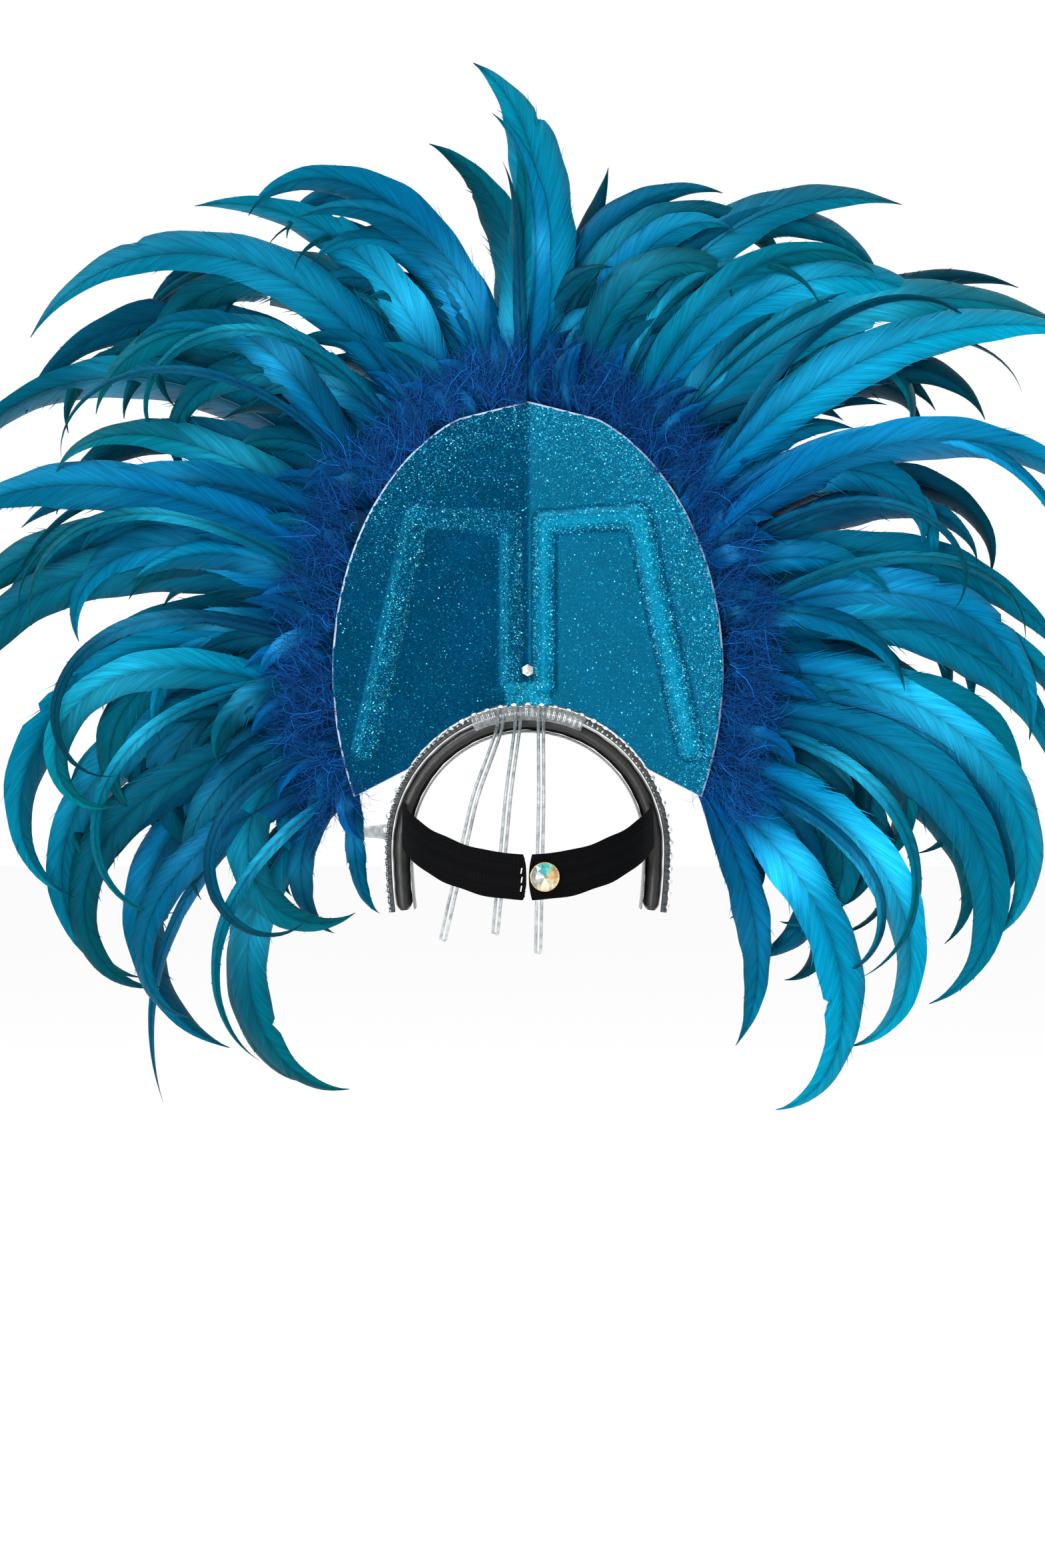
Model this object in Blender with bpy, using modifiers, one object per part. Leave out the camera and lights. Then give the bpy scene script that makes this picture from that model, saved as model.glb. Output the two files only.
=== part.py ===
"""Showgirl feather headdress: a folded glitter back panel on a padded headband, with a fan of
curling rooster tail feathers, hairpin prongs and an elastic strap with a crystal button.

Metres, +Z up. The wearer faces +Y, and +X is at the wearer's right hand as seen from behind.
The origin is the point on the crown of the head where the band's lining rests.
"""
import math

import bmesh
import bpy
from mathutils import Matrix, Vector

COLLECTION_NAME = "showgirl_feather_headdress"

# Gap between pieces that touch
CLEARANCE = 0.0003

# Head band: a padded arch from ear to ear
HEAD_RADIUS = 0.076
LINING_THICKNESS = 0.0015
LINING_DEPTH = 0.034
BAND_THICKNESS = 0.0114
BAND_DEPTH = 0.038
BAND_END_DROP = 0.041
BAND_END_INWARD = 0.0025
BAND_STEPS = 26
BAND_ROUNDNESS = 0.55
BAND_PROFILE_POINTS = 16

# Strip of clear stones round the band's outer side
TRIM_HEIGHT = 0.0045
TRIM_DEPTH = 0.0054
TRIM_Y = -0.0138
STONE_WIDTH = 0.0046
STONE_TABLE_SHARE = 0.58
STONE_RISE = 0.0016
STONE_PITCH = 0.0086
STONE_TILT = math.radians(22)
STONE_SINK = 0.0007
STONE_FACETS = 8
STRIP_ROUNDNESS = 0.6
STRIP_PROFILE_POINTS = 8

# Back panel: a board folded along its upright centre line
PANEL_THICKNESS = 0.0025
PANEL_HALF_WIDTH = 0.128
PANEL_TOP_Z = 0.218
PANEL_SHOULDER_Z = 0.040
PANEL_CORNER_Z = -0.042
PANEL_CORNER_INSET = 0.014
PANEL_FOLD_Y = -0.005
PANEL_RIM_SET_BACK = 0.020
NOTCH_GAP = 0.0085
NOTCH_ARC_END = math.radians(46)
PANEL_FOOT_HALF_WIDTH = 0.014
SHOULDER_DEGREES = 90
CORNER_DEGREES = 135

# Raised wire channels on the panel's back
RIB_WIDTH = 0.010
RIB_HEIGHT = 0.0022
RIB_HEIGHT_STEP = 0.00015
RIB_BEVEL = 0.0007
RIB_SINK = 0.0010
RIB_INNER_X = 0.0105
RIB_TOP_INNER_Z = 0.138
RIB_SHOULDER_X = 0.072
RIB_SHOULDER_Z = 0.142
RIB_FOOT_X = 0.106
RIB_FOOT_Z = -0.010
RIB_INNER_FOOT_Z = 0.031

# Hexagon nut on the panel's fold
NUT_ACROSS_CORNERS = 0.0084
NUT_HEIGHT = 0.0040
NUT_HOLE_WIDTH = 0.0040
NUT_HOLE_DEPTH = 0.0015
NUT_Z = 0.041

# Hairpin prongs that follow the back of the head
WIRE_WIDTH = 0.0021
HAIRPIN_WIDTH = 0.0054
PRONG_STEPS = 8
PRONG_TIP_STEPS = 5
PRONG_WAIST_SHARE = 0.33
PRONG_LEVEL_SLOPE = 0.3
BRACKET_THICKNESS = 0.0046
BRACKET_HEIGHT = 0.0105
BRACKET_HALF_ANGLE = math.radians(24)
BRACKET_RISE = 0.0006
BRACKET_STEPS = 10

# Elastic strap round the back of the head
STRAP_HEIGHT = 0.030
STRAP_THICKNESS = 0.0018
STRAP_REACH = 0.079
STRAP_END_Z = -0.060
STRAP_BACK_Z = -0.091
STRAP_STEPS = 14
STRAP_MEETING_GAP = 0.0010
STRAP_CORNER_CUT = 0.0022
STRAP_DROP_POWER = 1.5

# Crystal button on the strap
BUTTON_WIDTH = 0.019
BUTTON_CUP_THICKNESS = 0.0026
BUTTON_STONE_RISE = 0.0042
BUTTON_FACETS = 16
BUTTON_X = 0.0105
BUTTON_BOW = 0.0006

# Clear arm from the band's left side to the lowest left feathers
STAY_THICKNESS = 0.0030
STAY_HEIGHT_AT_BAND = 0.0115
STAY_HEIGHT_AT_FEATHER = 0.0065
STAY_LENGTH = 0.0235
STAY_Z = -0.066
STAY_Y = 0.004

# Feathers
FEATHER_LENGTH = 0.350
FEATHER_WIDTH = 0.026
FEATHER_THICKNESS = 0.0012
FEATHER_STEPS = 8
FEATHER_ROOT_INSET = 0.010
FEATHER_CURL_POWER = 1.5
FEATHER_LINE_PIECES = 48
FEATHER_FOOT_SHARE = 0.35
FEATHER_FULL_FROM = 0.22
FEATHER_TAPER_FROM = 0.50
FEATHER_TIP_SHARE = 0.08
LAYER_THICKNESS = 0.0105
FAN_REACH = 0.250
FAN_SPREAD = 1.1
FAN_SWEEP = 0.022
TUFT_REACH = 0.036
TUFT_REACH_STEP = 0.012
TUFT_MARGIN = math.radians(8)
TUFT_STEPS = 6
TUFT_END_SHARE = 0.6
TUFT_FIRST_DEGREES = 0.3
FOLD_GAP = 0.0004

# Rings of the button from its base to the stone's table: radius as a share, rise as a share of the
# cup's and of the stone's, and turn in facets
BUTTON_RINGS = [
    # radius, cup, stone, turn
    (0.93, 0.0, 0.00, 0.0),
    (1.00, 0.4, 0.00, 0.0),
    (1.00, 1.0, 0.00, 0.0),
    (0.90, 1.0, 0.00, 0.0),
    (0.62, 1.0, 0.66, 0.5),
    (0.34, 1.0, 1.00, 0.0),
]

# Points that each prong passes: depth and height as shares of the strap's reach behind the band
# and of the prong's length, from its top to its tip
PRONG_SIDE = [
    # depth share, height share
    (0.035, 0.00),
    (0.24, 0.03),
    (0.53, 0.14),
    (0.78, 0.33),
    (0.90, 0.56),
    (0.935, 0.80),
    (0.91, 1.00),
]

# The three prongs: where each starts and ends across the head, and its length downwards
PRONGS = [
    # name, top x, waist x, tip x, drop
    ("prong_left", -0.018, -0.034, -0.055, 0.137),
    ("prong_center", -0.0065, -0.0125, -0.021, 0.134),
    ("prong_right", 0.0085, 0.0085, 0.0065, 0.146),
]

# Each plume is one bundle of feathers in one of three layers. A feather's row gives its place
# round the rim (0 at the top, 90 at the shoulder, 135 at the lower corner), the way it points
# where it leaves the rim, how far it turns by its tip, and its length and width as shares.
PLUMES = [
    {"name": "plume_left_1", "side": -1, "layer": 0, "feathers": [
        (6, -5, -4, 0.50, 0.80), (7, -11, 62, 0.70, 1.05), (13, 2, 112, 0.73, 1.00)]},
    {"name": "plume_left_2", "side": -1, "layer": 1, "feathers": [
        (23, 14, 88, 0.69, 1.00), (32, 24, 116, 0.98, 1.00)]},
    {"name": "plume_left_3", "side": -1, "layer": 2, "feathers": [
        (43, 30, 124, 0.88, 0.95), (53, 42, 112, 0.97, 1.05)]},
    {"name": "plume_left_4", "side": -1, "layer": 0, "feathers": [
        (60, 62, 62, 0.66, 0.90), (69, 58, 58, 0.80, 1.10)]},
    {"name": "plume_left_5", "side": -1, "layer": 1, "feathers": [
        (78, 62, 122, 0.98, 1.00), (87, 76, 136, 0.94, 1.10)]},
    {"name": "plume_left_6", "side": -1, "layer": 2, "feathers": [
        (100, 84, 150, 0.95, 1.00), (114, 100, 150, 0.86, 1.00),
        (126, 132, 112, 0.76, 0.85)]},
    {"name": "plume_right_1", "side": 1, "layer": 2, "feathers": [
        (7, 4, 140, 0.72, 0.95), (15, 14, 128, 0.80, 0.95), (22, 17, 92, 0.77, 1.05)]},
    {"name": "plume_right_2", "side": 1, "layer": 1, "feathers": [
        (32, 27, 100, 0.76, 1.00), (40, 38, 88, 0.90, 1.00)]},
    {"name": "plume_right_3", "side": 1, "layer": 0, "feathers": [
        (53, 40, 66, 0.86, 1.05), (63, 48, 96, 0.88, 1.00)]},
    {"name": "plume_right_4", "side": 1, "layer": 2, "feathers": [
        (71, 68, 84, 0.74, 0.95), (80, 78, 88, 0.78, 1.05)]},
    {"name": "plume_right_5", "side": 1, "layer": 1, "feathers": [
        (90, 86, 116, 0.92, 1.00), (105, 88, 136, 0.92, 1.05)]},
    {"name": "plume_right_6", "side": 1, "layer": 0, "feathers": [
        (121, 106, 112, 0.78, 0.95), (131, 126, 92, 0.75, 0.95)]},
]
FILLER_LENGTH_SHARE = 0.78
FILLER_STEP_DEGREES = 3
FILLER_STEP_HEADING = 7
FILLER_CURL_SHARE = 0.8

# Outline of a tuft's cross section: reach out from the rim and depth in its layer, as shares
TUFT_PROFILE = [
    # out, deep
    (-0.30, 0.0),
    (-0.30, 1.0),
    (0.45, 1.0),
    (1.00, 0.6),
    (1.00, 0.4),
    (0.45, 0.0),
]

# Heights that follow from the sizes above
BAND_CENTER_Z = -HEAD_RADIUS
BAND_INNER_RADIUS = HEAD_RADIUS + LINING_THICKNESS + CLEARANCE
BAND_MIDDLE_RADIUS = BAND_INNER_RADIUS + BAND_THICKNESS / 2
BAND_OUTER_RADIUS = BAND_INNER_RADIUS + BAND_THICKNESS
TRIM_INNER_RADIUS = BAND_OUTER_RADIUS + CLEARANCE
NOTCH_RADIUS = BAND_OUTER_RADIUS + NOTCH_GAP
BRACKET_RADIUS = BAND_MIDDLE_RADIUS + BRACKET_RISE
PANEL_SLOPE = PANEL_RIM_SET_BACK / PANEL_HALF_WIDTH
BAND_REAR_Y = -BAND_DEPTH / 2


def clear_scene():
    """Empty the scene of what it opens with."""
    for item in list(bpy.data.objects):
        bpy.data.objects.remove(item, do_unlink=True)


def make_collection(name):
    """Add a collection to the scene."""
    collection = bpy.data.collections.new(name)
    bpy.context.scene.collection.children.link(collection)
    return collection


def make_material(name, color, roughness, metallic=0.0, transmission=0.0):
    """Principled material with one plain colour."""
    material = bpy.data.materials.new(name)
    material.use_nodes = True
    shader = material.node_tree.nodes["Principled BSDF"]
    shader.inputs["Base Color"].default_value = (*color, 1.0)
    shader.inputs["Roughness"].default_value = roughness
    shader.inputs["Metallic"].default_value = metallic
    shader.inputs["Transmission Weight"].default_value = transmission
    material.diffuse_color = (*color, 1.0)
    return material


def add_object(name, mesh, material, collection):
    """Put a mesh in the scene as a named piece."""
    piece = bpy.data.objects.new(name, mesh)
    mesh.materials.clear()
    mesh.materials.append(material)
    collection.objects.link(piece)
    return piece


def finish_mesh(name, bm):
    """Turn a bmesh into a mesh with its faces pointing out and its soft edges smooth."""
    bmesh.ops.recalc_face_normals(bm, faces=bm.faces)
    mesh = bpy.data.meshes.new(name)
    bm.to_mesh(mesh)
    bm.free()
    mesh.shade_smooth()
    mesh.set_sharp_from_angle(angle=math.radians(35))
    return mesh


def loft_into(bm, sections):
    """Skin a closed body through rings of points that have the same count."""
    rings = [[bm.verts.new(point) for point in section] for section in sections]
    count = len(rings[0])
    for ring, following in zip(rings, rings[1:]):
        for index in range(count):
            after = (index + 1) % count
            bm.faces.new((ring[index], ring[after], following[after], following[index]))
    bm.faces.new(list(reversed(rings[0])))
    bm.faces.new(rings[-1])


def loft_mesh(name, sections):
    """A closed body through rings of points, as a mesh."""
    bm = bmesh.new()
    loft_into(bm, sections)
    return finish_mesh(name, bm)


def unite(piece, other, solver):
    """Fuse another object into a piece, and remove it."""
    union = piece.modifiers.new("union", "BOOLEAN")
    union.operation = "UNION"
    union.solver = solver
    union.object = other
    bake_modifiers(piece)
    bpy.data.objects.remove(other, do_unlink=True)


def subtract(piece, cutter):
    """Cut one object out of a piece, and remove the cutter."""
    cut = piece.modifiers.new("cut", "BOOLEAN")
    cut.operation = "DIFFERENCE"
    cut.solver = "EXACT"
    cut.object = cutter
    bake_modifiers(piece)
    bpy.data.objects.remove(cutter, do_unlink=True)


def bake_modifiers(piece):
    """Give a piece the mesh that its modifiers make."""
    bpy.context.view_layer.update()
    graph = bpy.context.evaluated_depsgraph_get()
    mesh = bpy.data.meshes.new_from_object(piece.evaluated_get(graph))
    piece.modifiers.clear()
    piece.data = mesh


def band_place(share):
    """Middle line of the band: a point and its outward direction, share -1 to 1 end to end."""
    arc = BAND_MIDDLE_RADIUS * math.pi / 2
    along = abs(share) * (arc + BAND_END_DROP)
    side = 1 if share >= 0 else -1
    if along <= arc:
        angle = along / BAND_MIDDLE_RADIUS
        outward = Vector((side * math.sin(angle), 0, math.cos(angle)))
        return Vector((0, 0, BAND_CENTER_Z)) + outward * BAND_MIDDLE_RADIUS, outward
    drop = (along - arc) / BAND_END_DROP
    x = BAND_MIDDLE_RADIUS - BAND_END_INWARD * drop ** 2
    lean = math.atan2(2 * BAND_END_INWARD * drop, BAND_END_DROP)
    outward = Vector((side * math.cos(lean), 0, -math.sin(lean)))
    return Vector((side * x, 0, BAND_CENTER_Z - drop * BAND_END_DROP)), outward


def band_sections(profile):
    """Rings along the band of a profile of offsets outward from its middle line and in depth."""
    sections = []
    for step in range(BAND_STEPS + 1):
        center, outward = band_place(2 * step / BAND_STEPS - 1)
        sections.append([center + outward * offset + Vector((0, y, 0)) for offset, y in profile])
    return sections


def rounded_profile(thickness, depth, offset, y, roundness, count):
    """Closed profile between a box and an oval, counted points round it."""
    points = []
    for index in range(count):
        angle = 2 * math.pi * (index + 0.5) / count
        across = math.copysign(abs(math.cos(angle)) ** roundness, math.cos(angle))
        deep = math.copysign(abs(math.sin(angle)) ** roundness, math.sin(angle))
        points.append((offset + across * thickness / 2, y + deep * depth / 2))
    return points


def build_headband(material, collection):
    """Padded band over the crown, its ends capped just above the ear lobes."""
    profile = rounded_profile(BAND_THICKNESS, BAND_DEPTH, 0, 0, BAND_ROUNDNESS,
                              BAND_PROFILE_POINTS)
    mesh = loft_mesh("headband", band_sections(profile))
    return add_object("headband", mesh, material, collection)


def build_lining(material, collection):
    """Thin cloth strip inside the band, whose edge shows at the crown."""
    offset = HEAD_RADIUS + LINING_THICKNESS / 2 - BAND_MIDDLE_RADIUS
    half = LINING_THICKNESS / 2
    deep = LINING_DEPTH / 2
    profile = [(offset + half, deep), (offset - half, deep),
               (offset - half, -deep), (offset + half, -deep)]
    mesh = loft_mesh("band_lining", band_sections(profile))
    return add_object("band_lining", mesh, material, collection)


def add_stone(bm, center, outward):
    """A round cut stone with eight facets and a table, its base sunk in the strip."""
    turn = outward.to_track_quat("Z", "Y").to_matrix().to_4x4()
    place = Matrix.Translation(center + outward * STONE_RISE / 2) @ turn
    bmesh.ops.create_cone(
        bm, cap_ends=True, segments=STONE_FACETS, radius1=STONE_WIDTH / 2,
        radius2=STONE_WIDTH / 2 * STONE_TABLE_SHARE, depth=STONE_RISE, matrix=place)


def build_crystal_trim(material, collection):
    """Clear strip with a row of cut stones along the band's outer side."""
    inner = TRIM_INNER_RADIUS - BAND_MIDDLE_RADIUS
    profile = rounded_profile(TRIM_HEIGHT, TRIM_DEPTH, inner + TRIM_HEIGHT / 2, TRIM_Y,
                              STRIP_ROUNDNESS, STRIP_PROFILE_POINTS)
    trim = add_object("crystal_trim", loft_mesh("crystal_trim", band_sections(profile)),
                      material, collection)
    bm = bmesh.new()
    half_length = (TRIM_INNER_RADIUS + TRIM_HEIGHT) * math.pi / 2 + BAND_END_DROP
    per_side = int((half_length - STONE_WIDTH) / STONE_PITCH)
    for index in range(-per_side, per_side + 1):
        center, outward = band_place(index / (per_side + 0.5))
        facing = outward * math.cos(STONE_TILT) - Vector((0, math.sin(STONE_TILT), 0))
        seat = center + outward * (inner + TRIM_HEIGHT - STONE_SINK) + Vector((0, TRIM_Y, 0))
        add_stone(bm, seat, facing)
    stones = add_object("stones", finish_mesh("stones", bm), material, collection)
    unite(trim, stones, "EXACT")
    return trim


def panel_y(x):
    """Depth of the panel's front face: a valley at the fold, the rims set back."""
    return PANEL_FOLD_Y - PANEL_SLOPE * abs(x)


def rim_point(degrees):
    """Point on the right rim: 0 at the top, 90 at the shoulder, 135 at the lower corner."""
    if degrees <= SHOULDER_DEGREES:
        angle = math.radians(degrees)
        return (PANEL_HALF_WIDTH * math.sin(angle),
                PANEL_SHOULDER_Z + (PANEL_TOP_Z - PANEL_SHOULDER_Z) * math.cos(angle))
    share = (degrees - SHOULDER_DEGREES) / (CORNER_DEGREES - SHOULDER_DEGREES)
    return (PANEL_HALF_WIDTH - PANEL_CORNER_INSET * share ** 2,
            PANEL_SHOULDER_Z + (PANEL_CORNER_Z - PANEL_SHOULDER_Z) * share)


def panel_outline():
    """Right half of the panel, from the fold's foot round the notch and rim to the top."""
    foot_radius = BAND_OUTER_RADIUS + CLEARANCE
    foot_angle = math.asin(PANEL_FOOT_HALF_WIDTH / foot_radius)
    notch_start = math.asin(PANEL_FOOT_HALF_WIDTH / NOTCH_RADIUS)
    points = []
    for step in range(4):
        angle = foot_angle * step / 3
        points.append((foot_radius * math.sin(angle),
                       BAND_CENTER_Z + foot_radius * math.cos(angle)))
    for step in range(9):
        angle = notch_start + (NOTCH_ARC_END - notch_start) * step / 8
        points.append((NOTCH_RADIUS * math.sin(angle),
                       BAND_CENTER_Z + NOTCH_RADIUS * math.cos(angle)))
    for degrees in range(CORNER_DEGREES, SHOULDER_DEGREES, -9):
        points.append(rim_point(degrees))
    for degrees in range(SHOULDER_DEGREES, -1, -6):
        points.append(rim_point(degrees))
    return points


def build_back_panel(material, collection):
    """Folded board with a notch over the band and raised wire channels on its back."""
    bm = bmesh.new()
    bm.faces.new([bm.verts.new((x, panel_y(x), z)) for x, z in panel_outline()])
    mesh = bpy.data.meshes.new("back_panel")
    bm.to_mesh(mesh)
    bm.free()
    panel = add_object("back_panel", mesh, material, collection)
    mirror = panel.modifiers.new("other_half", "MIRROR")
    mirror.merge_threshold = 0.0001
    wall = panel.modifiers.new("board", "SOLIDIFY")
    wall.thickness = PANEL_THICKNESS
    wall.offset = 1
    wall.use_even_offset = True
    bake_modifiers(panel)
    lines = [
        ((RIB_INNER_X, RIB_TOP_INNER_Z), (RIB_SHOULDER_X, RIB_SHOULDER_Z)),
        ((RIB_SHOULDER_X, RIB_SHOULDER_Z), (RIB_FOOT_X, RIB_FOOT_Z)),
        ((RIB_INNER_X, RIB_TOP_INNER_Z), (RIB_INNER_X, RIB_INNER_FOOT_Z)),
    ]
    for side in (-1, 1):
        for index, (start, end) in enumerate(lines):
            rise = RIB_HEIGHT + RIB_HEIGHT_STEP * index
            unite(panel, build_rib(side, start, end, rise, material, collection), "EXACT")
    return panel


def build_rib(side, start, end, rise, material, collection):
    """One raised channel between two points of a panel half, sunk a little into the board."""
    first, last = [Vector((side * x, panel_y(x) - PANEL_THICKNESS, z)) for x, z in (start, end)]
    along = (last - first).normalized()
    backward = Vector((-side * PANEL_SLOPE, -1, 0)).normalized()
    across = backward.cross(along)
    turn = Matrix((along, across, backward)).transposed().to_4x4()
    length = (last - first).length + RIB_WIDTH
    sink = RIB_SINK - rise + RIB_HEIGHT
    bm = bmesh.new()
    bmesh.ops.create_cube(bm, size=1)
    bmesh.ops.scale(bm, vec=(length, RIB_WIDTH, rise + sink), verts=bm.verts)
    edges = [edge for edge in bm.edges if all(vertex.co.z > 0 for vertex in edge.verts)]
    bmesh.ops.bevel(bm, geom=edges, offset=RIB_BEVEL, segments=1, affect="EDGES")
    middle = (first + last) / 2 + backward * (rise - sink) / 2
    bm.transform(Matrix.Translation(middle) @ turn)
    return add_object("rib", finish_mesh("rib", bm), material, collection)


def build_nut(material, collection):
    """Hexagon nut with the bolt's end in it, on the fold."""
    seat = panel_y(NUT_ACROSS_CORNERS / 2) - PANEL_THICKNESS - CLEARANCE
    bm = bmesh.new()
    bmesh.ops.create_cone(bm, cap_ends=True, segments=6, radius1=NUT_ACROSS_CORNERS / 2,
                          radius2=NUT_ACROSS_CORNERS / 2, depth=NUT_HEIGHT)
    nut = add_object("panel_nut", finish_mesh("panel_nut", bm), material, collection)
    bm = bmesh.new()
    bmesh.ops.create_cone(bm, cap_ends=True, segments=12, radius1=NUT_HOLE_WIDTH / 2,
                          radius2=NUT_HOLE_WIDTH / 2, depth=2 * NUT_HOLE_DEPTH,
                          matrix=Matrix.Translation((0, 0, NUT_HEIGHT / 2)))
    subtract(nut, add_object("nut_hole", finish_mesh("nut_hole", bm), material, collection))
    turn = Matrix.Rotation(math.radians(90), 4, "X")
    nut.data.transform(Matrix.Translation((0, seat - NUT_HEIGHT / 2, NUT_Z)) @ turn)
    return nut


def smooth_through(points, steps):
    """Points of a smooth curve through a few chosen ones, spaced evenly between them."""
    result = []
    last = len(points) - 1
    for step in range(steps + 1):
        place = step / steps * last
        index = min(int(place), last - 1)
        t = place - index
        before = points[max(index - 1, 0)]
        start = points[index]
        end = points[index + 1]
        after = points[min(index + 2, last)]
        result.append(0.5 * (2 * start + (end - before) * t
                             + (2 * before - 5 * start + 4 * end - after) * t ** 2
                             + (3 * start - before - 3 * end + after) * t ** 3))
    return result


def build_tube(name, points, width, material, collection):
    """Round wire along points, its ends capped and welded."""
    curve = bpy.data.curves.new(name, "CURVE")
    curve.dimensions = "3D"
    curve.bevel_depth = width / 2
    curve.bevel_resolution = 2
    curve.use_fill_caps = True
    spline = curve.splines.new("POLY")
    spline.points.add(len(points) - 1)
    for point, place in zip(spline.points, points):
        point.co = (*place, 1)
    guide = bpy.data.objects.new(name + "_guide", curve)
    collection.objects.link(guide)
    bpy.context.view_layer.update()
    graph = bpy.context.evaluated_depsgraph_get()
    mesh = bpy.data.meshes.new_from_object(guide.evaluated_get(graph))
    bpy.data.objects.remove(guide, do_unlink=True)
    bm = bmesh.new()
    bm.from_mesh(mesh)
    bmesh.ops.remove_doubles(bm, verts=bm.verts, dist=0.00001)
    return add_object(name, finish_mesh(name, bm), material, collection)


def build_prong(row, material, collection):
    """Hairpin wire from the bracket down the back of the head: two legs and a round tip."""
    name, top_x, waist_x, tip_x, drop = row
    outer_x = abs(top_x) + HAIRPIN_WIDTH / 2
    top_z = (BAND_CENTER_Z + math.sqrt(BRACKET_RADIUS ** 2 - outer_x ** 2)
             - CLEARANCE - WIRE_WIDTH / 2)
    line = []
    for depth_share, height_share in PRONG_SIDE:
        early = min(height_share / PRONG_WAIST_SHARE, 1)
        late = max((height_share - PRONG_WAIST_SHARE) / (1 - PRONG_WAIST_SHARE), 0)
        x = top_x + (waist_x - top_x) * early + (tip_x - waist_x) * late
        round_share = math.sqrt(1 - (x / BAND_MIDDLE_RADIUS) ** 2)
        y = BAND_REAR_Y - STRAP_REACH * depth_share * round_share
        line.append(Vector((x, y, top_z - drop * height_share)))
    middle = smooth_through(line, PRONG_STEPS)
    half = (HAIRPIN_WIDTH - WIRE_WIDTH) / 2
    legs = {-1: [], 1: []}
    for side in legs:
        for index, point in enumerate(middle[:-1]):
            forward = (middle[index + 1] - point).normalized()
            across = forward.cross(Vector((0, 1, 0))).normalized()
            if abs(forward.z) < PRONG_LEVEL_SLOPE:
                across = Vector((-1, 0, 0))
            legs[side].append(point + across * side * half)
    down = (middle[-1] - middle[-2]).normalized()
    across = down.cross(Vector((0, 1, 0))).normalized()
    tip = []
    for step in range(PRONG_TIP_STEPS + 1):
        angle = math.pi * step / PRONG_TIP_STEPS
        tip.append(middle[-1] - down * half + across * half * math.cos(angle)
                   + down * half * math.sin(angle))
    points = legs[1] + tip + list(reversed(legs[-1]))
    return build_tube(name, points, WIRE_WIDTH, material, collection)


def build_bracket(material, collection):
    """Clear bar along the band's back edge that holds the prongs' tops."""
    front = BAND_REAR_Y - CLEARANCE
    middle_y = front - BRACKET_THICKNESS / 2
    profile = rounded_profile(BRACKET_HEIGHT, BRACKET_THICKNESS,
                              BRACKET_RADIUS + BRACKET_HEIGHT / 2, middle_y,
                              STRIP_ROUNDNESS, STRIP_PROFILE_POINTS)
    sections = []
    for step in range(BRACKET_STEPS + 1):
        angle = BRACKET_HALF_ANGLE * (2 * step / BRACKET_STEPS - 1)
        outward = Vector((math.sin(angle), 0, math.cos(angle)))
        sections.append([Vector((0, y, BAND_CENTER_Z)) + outward * radius
                         for radius, y in profile])
    return add_object("prong_bracket", loft_mesh("prong_bracket", sections), material, collection)


def strap_place(angle):
    """Middle line of the strap: a point and its outward direction, 0 at the band, 90 at back."""
    end_x = BAND_MIDDLE_RADIUS - STRAP_THICKNESS
    x = end_x * math.cos(angle)
    y = BAND_REAR_Y - CLEARANCE - STRAP_REACH * math.sin(angle)
    z = STRAP_END_Z + (STRAP_BACK_Z - STRAP_END_Z) * math.sin(angle) ** STRAP_DROP_POWER
    outward = Vector((math.cos(angle) / end_x, -math.sin(angle) / STRAP_REACH, 0)).normalized()
    return Vector((x, y, z)), outward


def build_strap(name, side, material, collection):
    """One half of the elastic strap, its free end cut to a blunt point at the middle."""
    sections = []
    stop = math.pi / 2 - STRAP_MEETING_GAP / 2 / BAND_MIDDLE_RADIUS
    corner = STRAP_CORNER_CUT / BAND_MIDDLE_RADIUS
    for step in range(STRAP_STEPS + 1):
        share = step / STRAP_STEPS
        ring = []
        for face, height in ((1, 1), (1, 0), (1, -1), (-1, -1), (-1, 0), (-1, 1)):
            cut = corner * abs(height) if step == STRAP_STEPS else 0
            center, outward = strap_place(stop * share - cut)
            point = center + outward * face * STRAP_THICKNESS / 2
            point.z += height * STRAP_HEIGHT / 2
            ring.append(Vector((side * point.x, point.y, point.z)))
        sections.append(ring)
    return add_object(name, loft_mesh(name, sections), material, collection)


def build_button(material, collection):
    """Round cut crystal with a table, in a shallow cup against the strap."""
    angle = math.acos(BUTTON_X / BAND_MIDDLE_RADIUS)
    center, outward = strap_place(angle)
    seat = center + outward * (STRAP_THICKNESS / 2 + CLEARANCE + BUTTON_BOW)
    bm = bmesh.new()
    sections = []
    for radius_share, cup_share, stone_share, turn_share in BUTTON_RINGS:
        radius = BUTTON_WIDTH / 2 * radius_share
        height = BUTTON_CUP_THICKNESS * cup_share + BUTTON_STONE_RISE * stone_share
        ring = []
        for index in range(BUTTON_FACETS):
            turned = 2 * math.pi * (index + turn_share) / BUTTON_FACETS
            ring.append(Vector((radius * math.cos(turned), radius * math.sin(turned), height)))
        sections.append(ring)
    loft_into(bm, sections)
    turn = outward.to_track_quat("Z", "Y").to_matrix().to_4x4()
    bm.transform(Matrix.Translation(seat) @ turn)
    mesh = finish_mesh("strap_button", bm)
    mesh.set_sharp_from_angle(angle=math.radians(5))
    return add_object("strap_button", mesh, material, collection)


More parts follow.
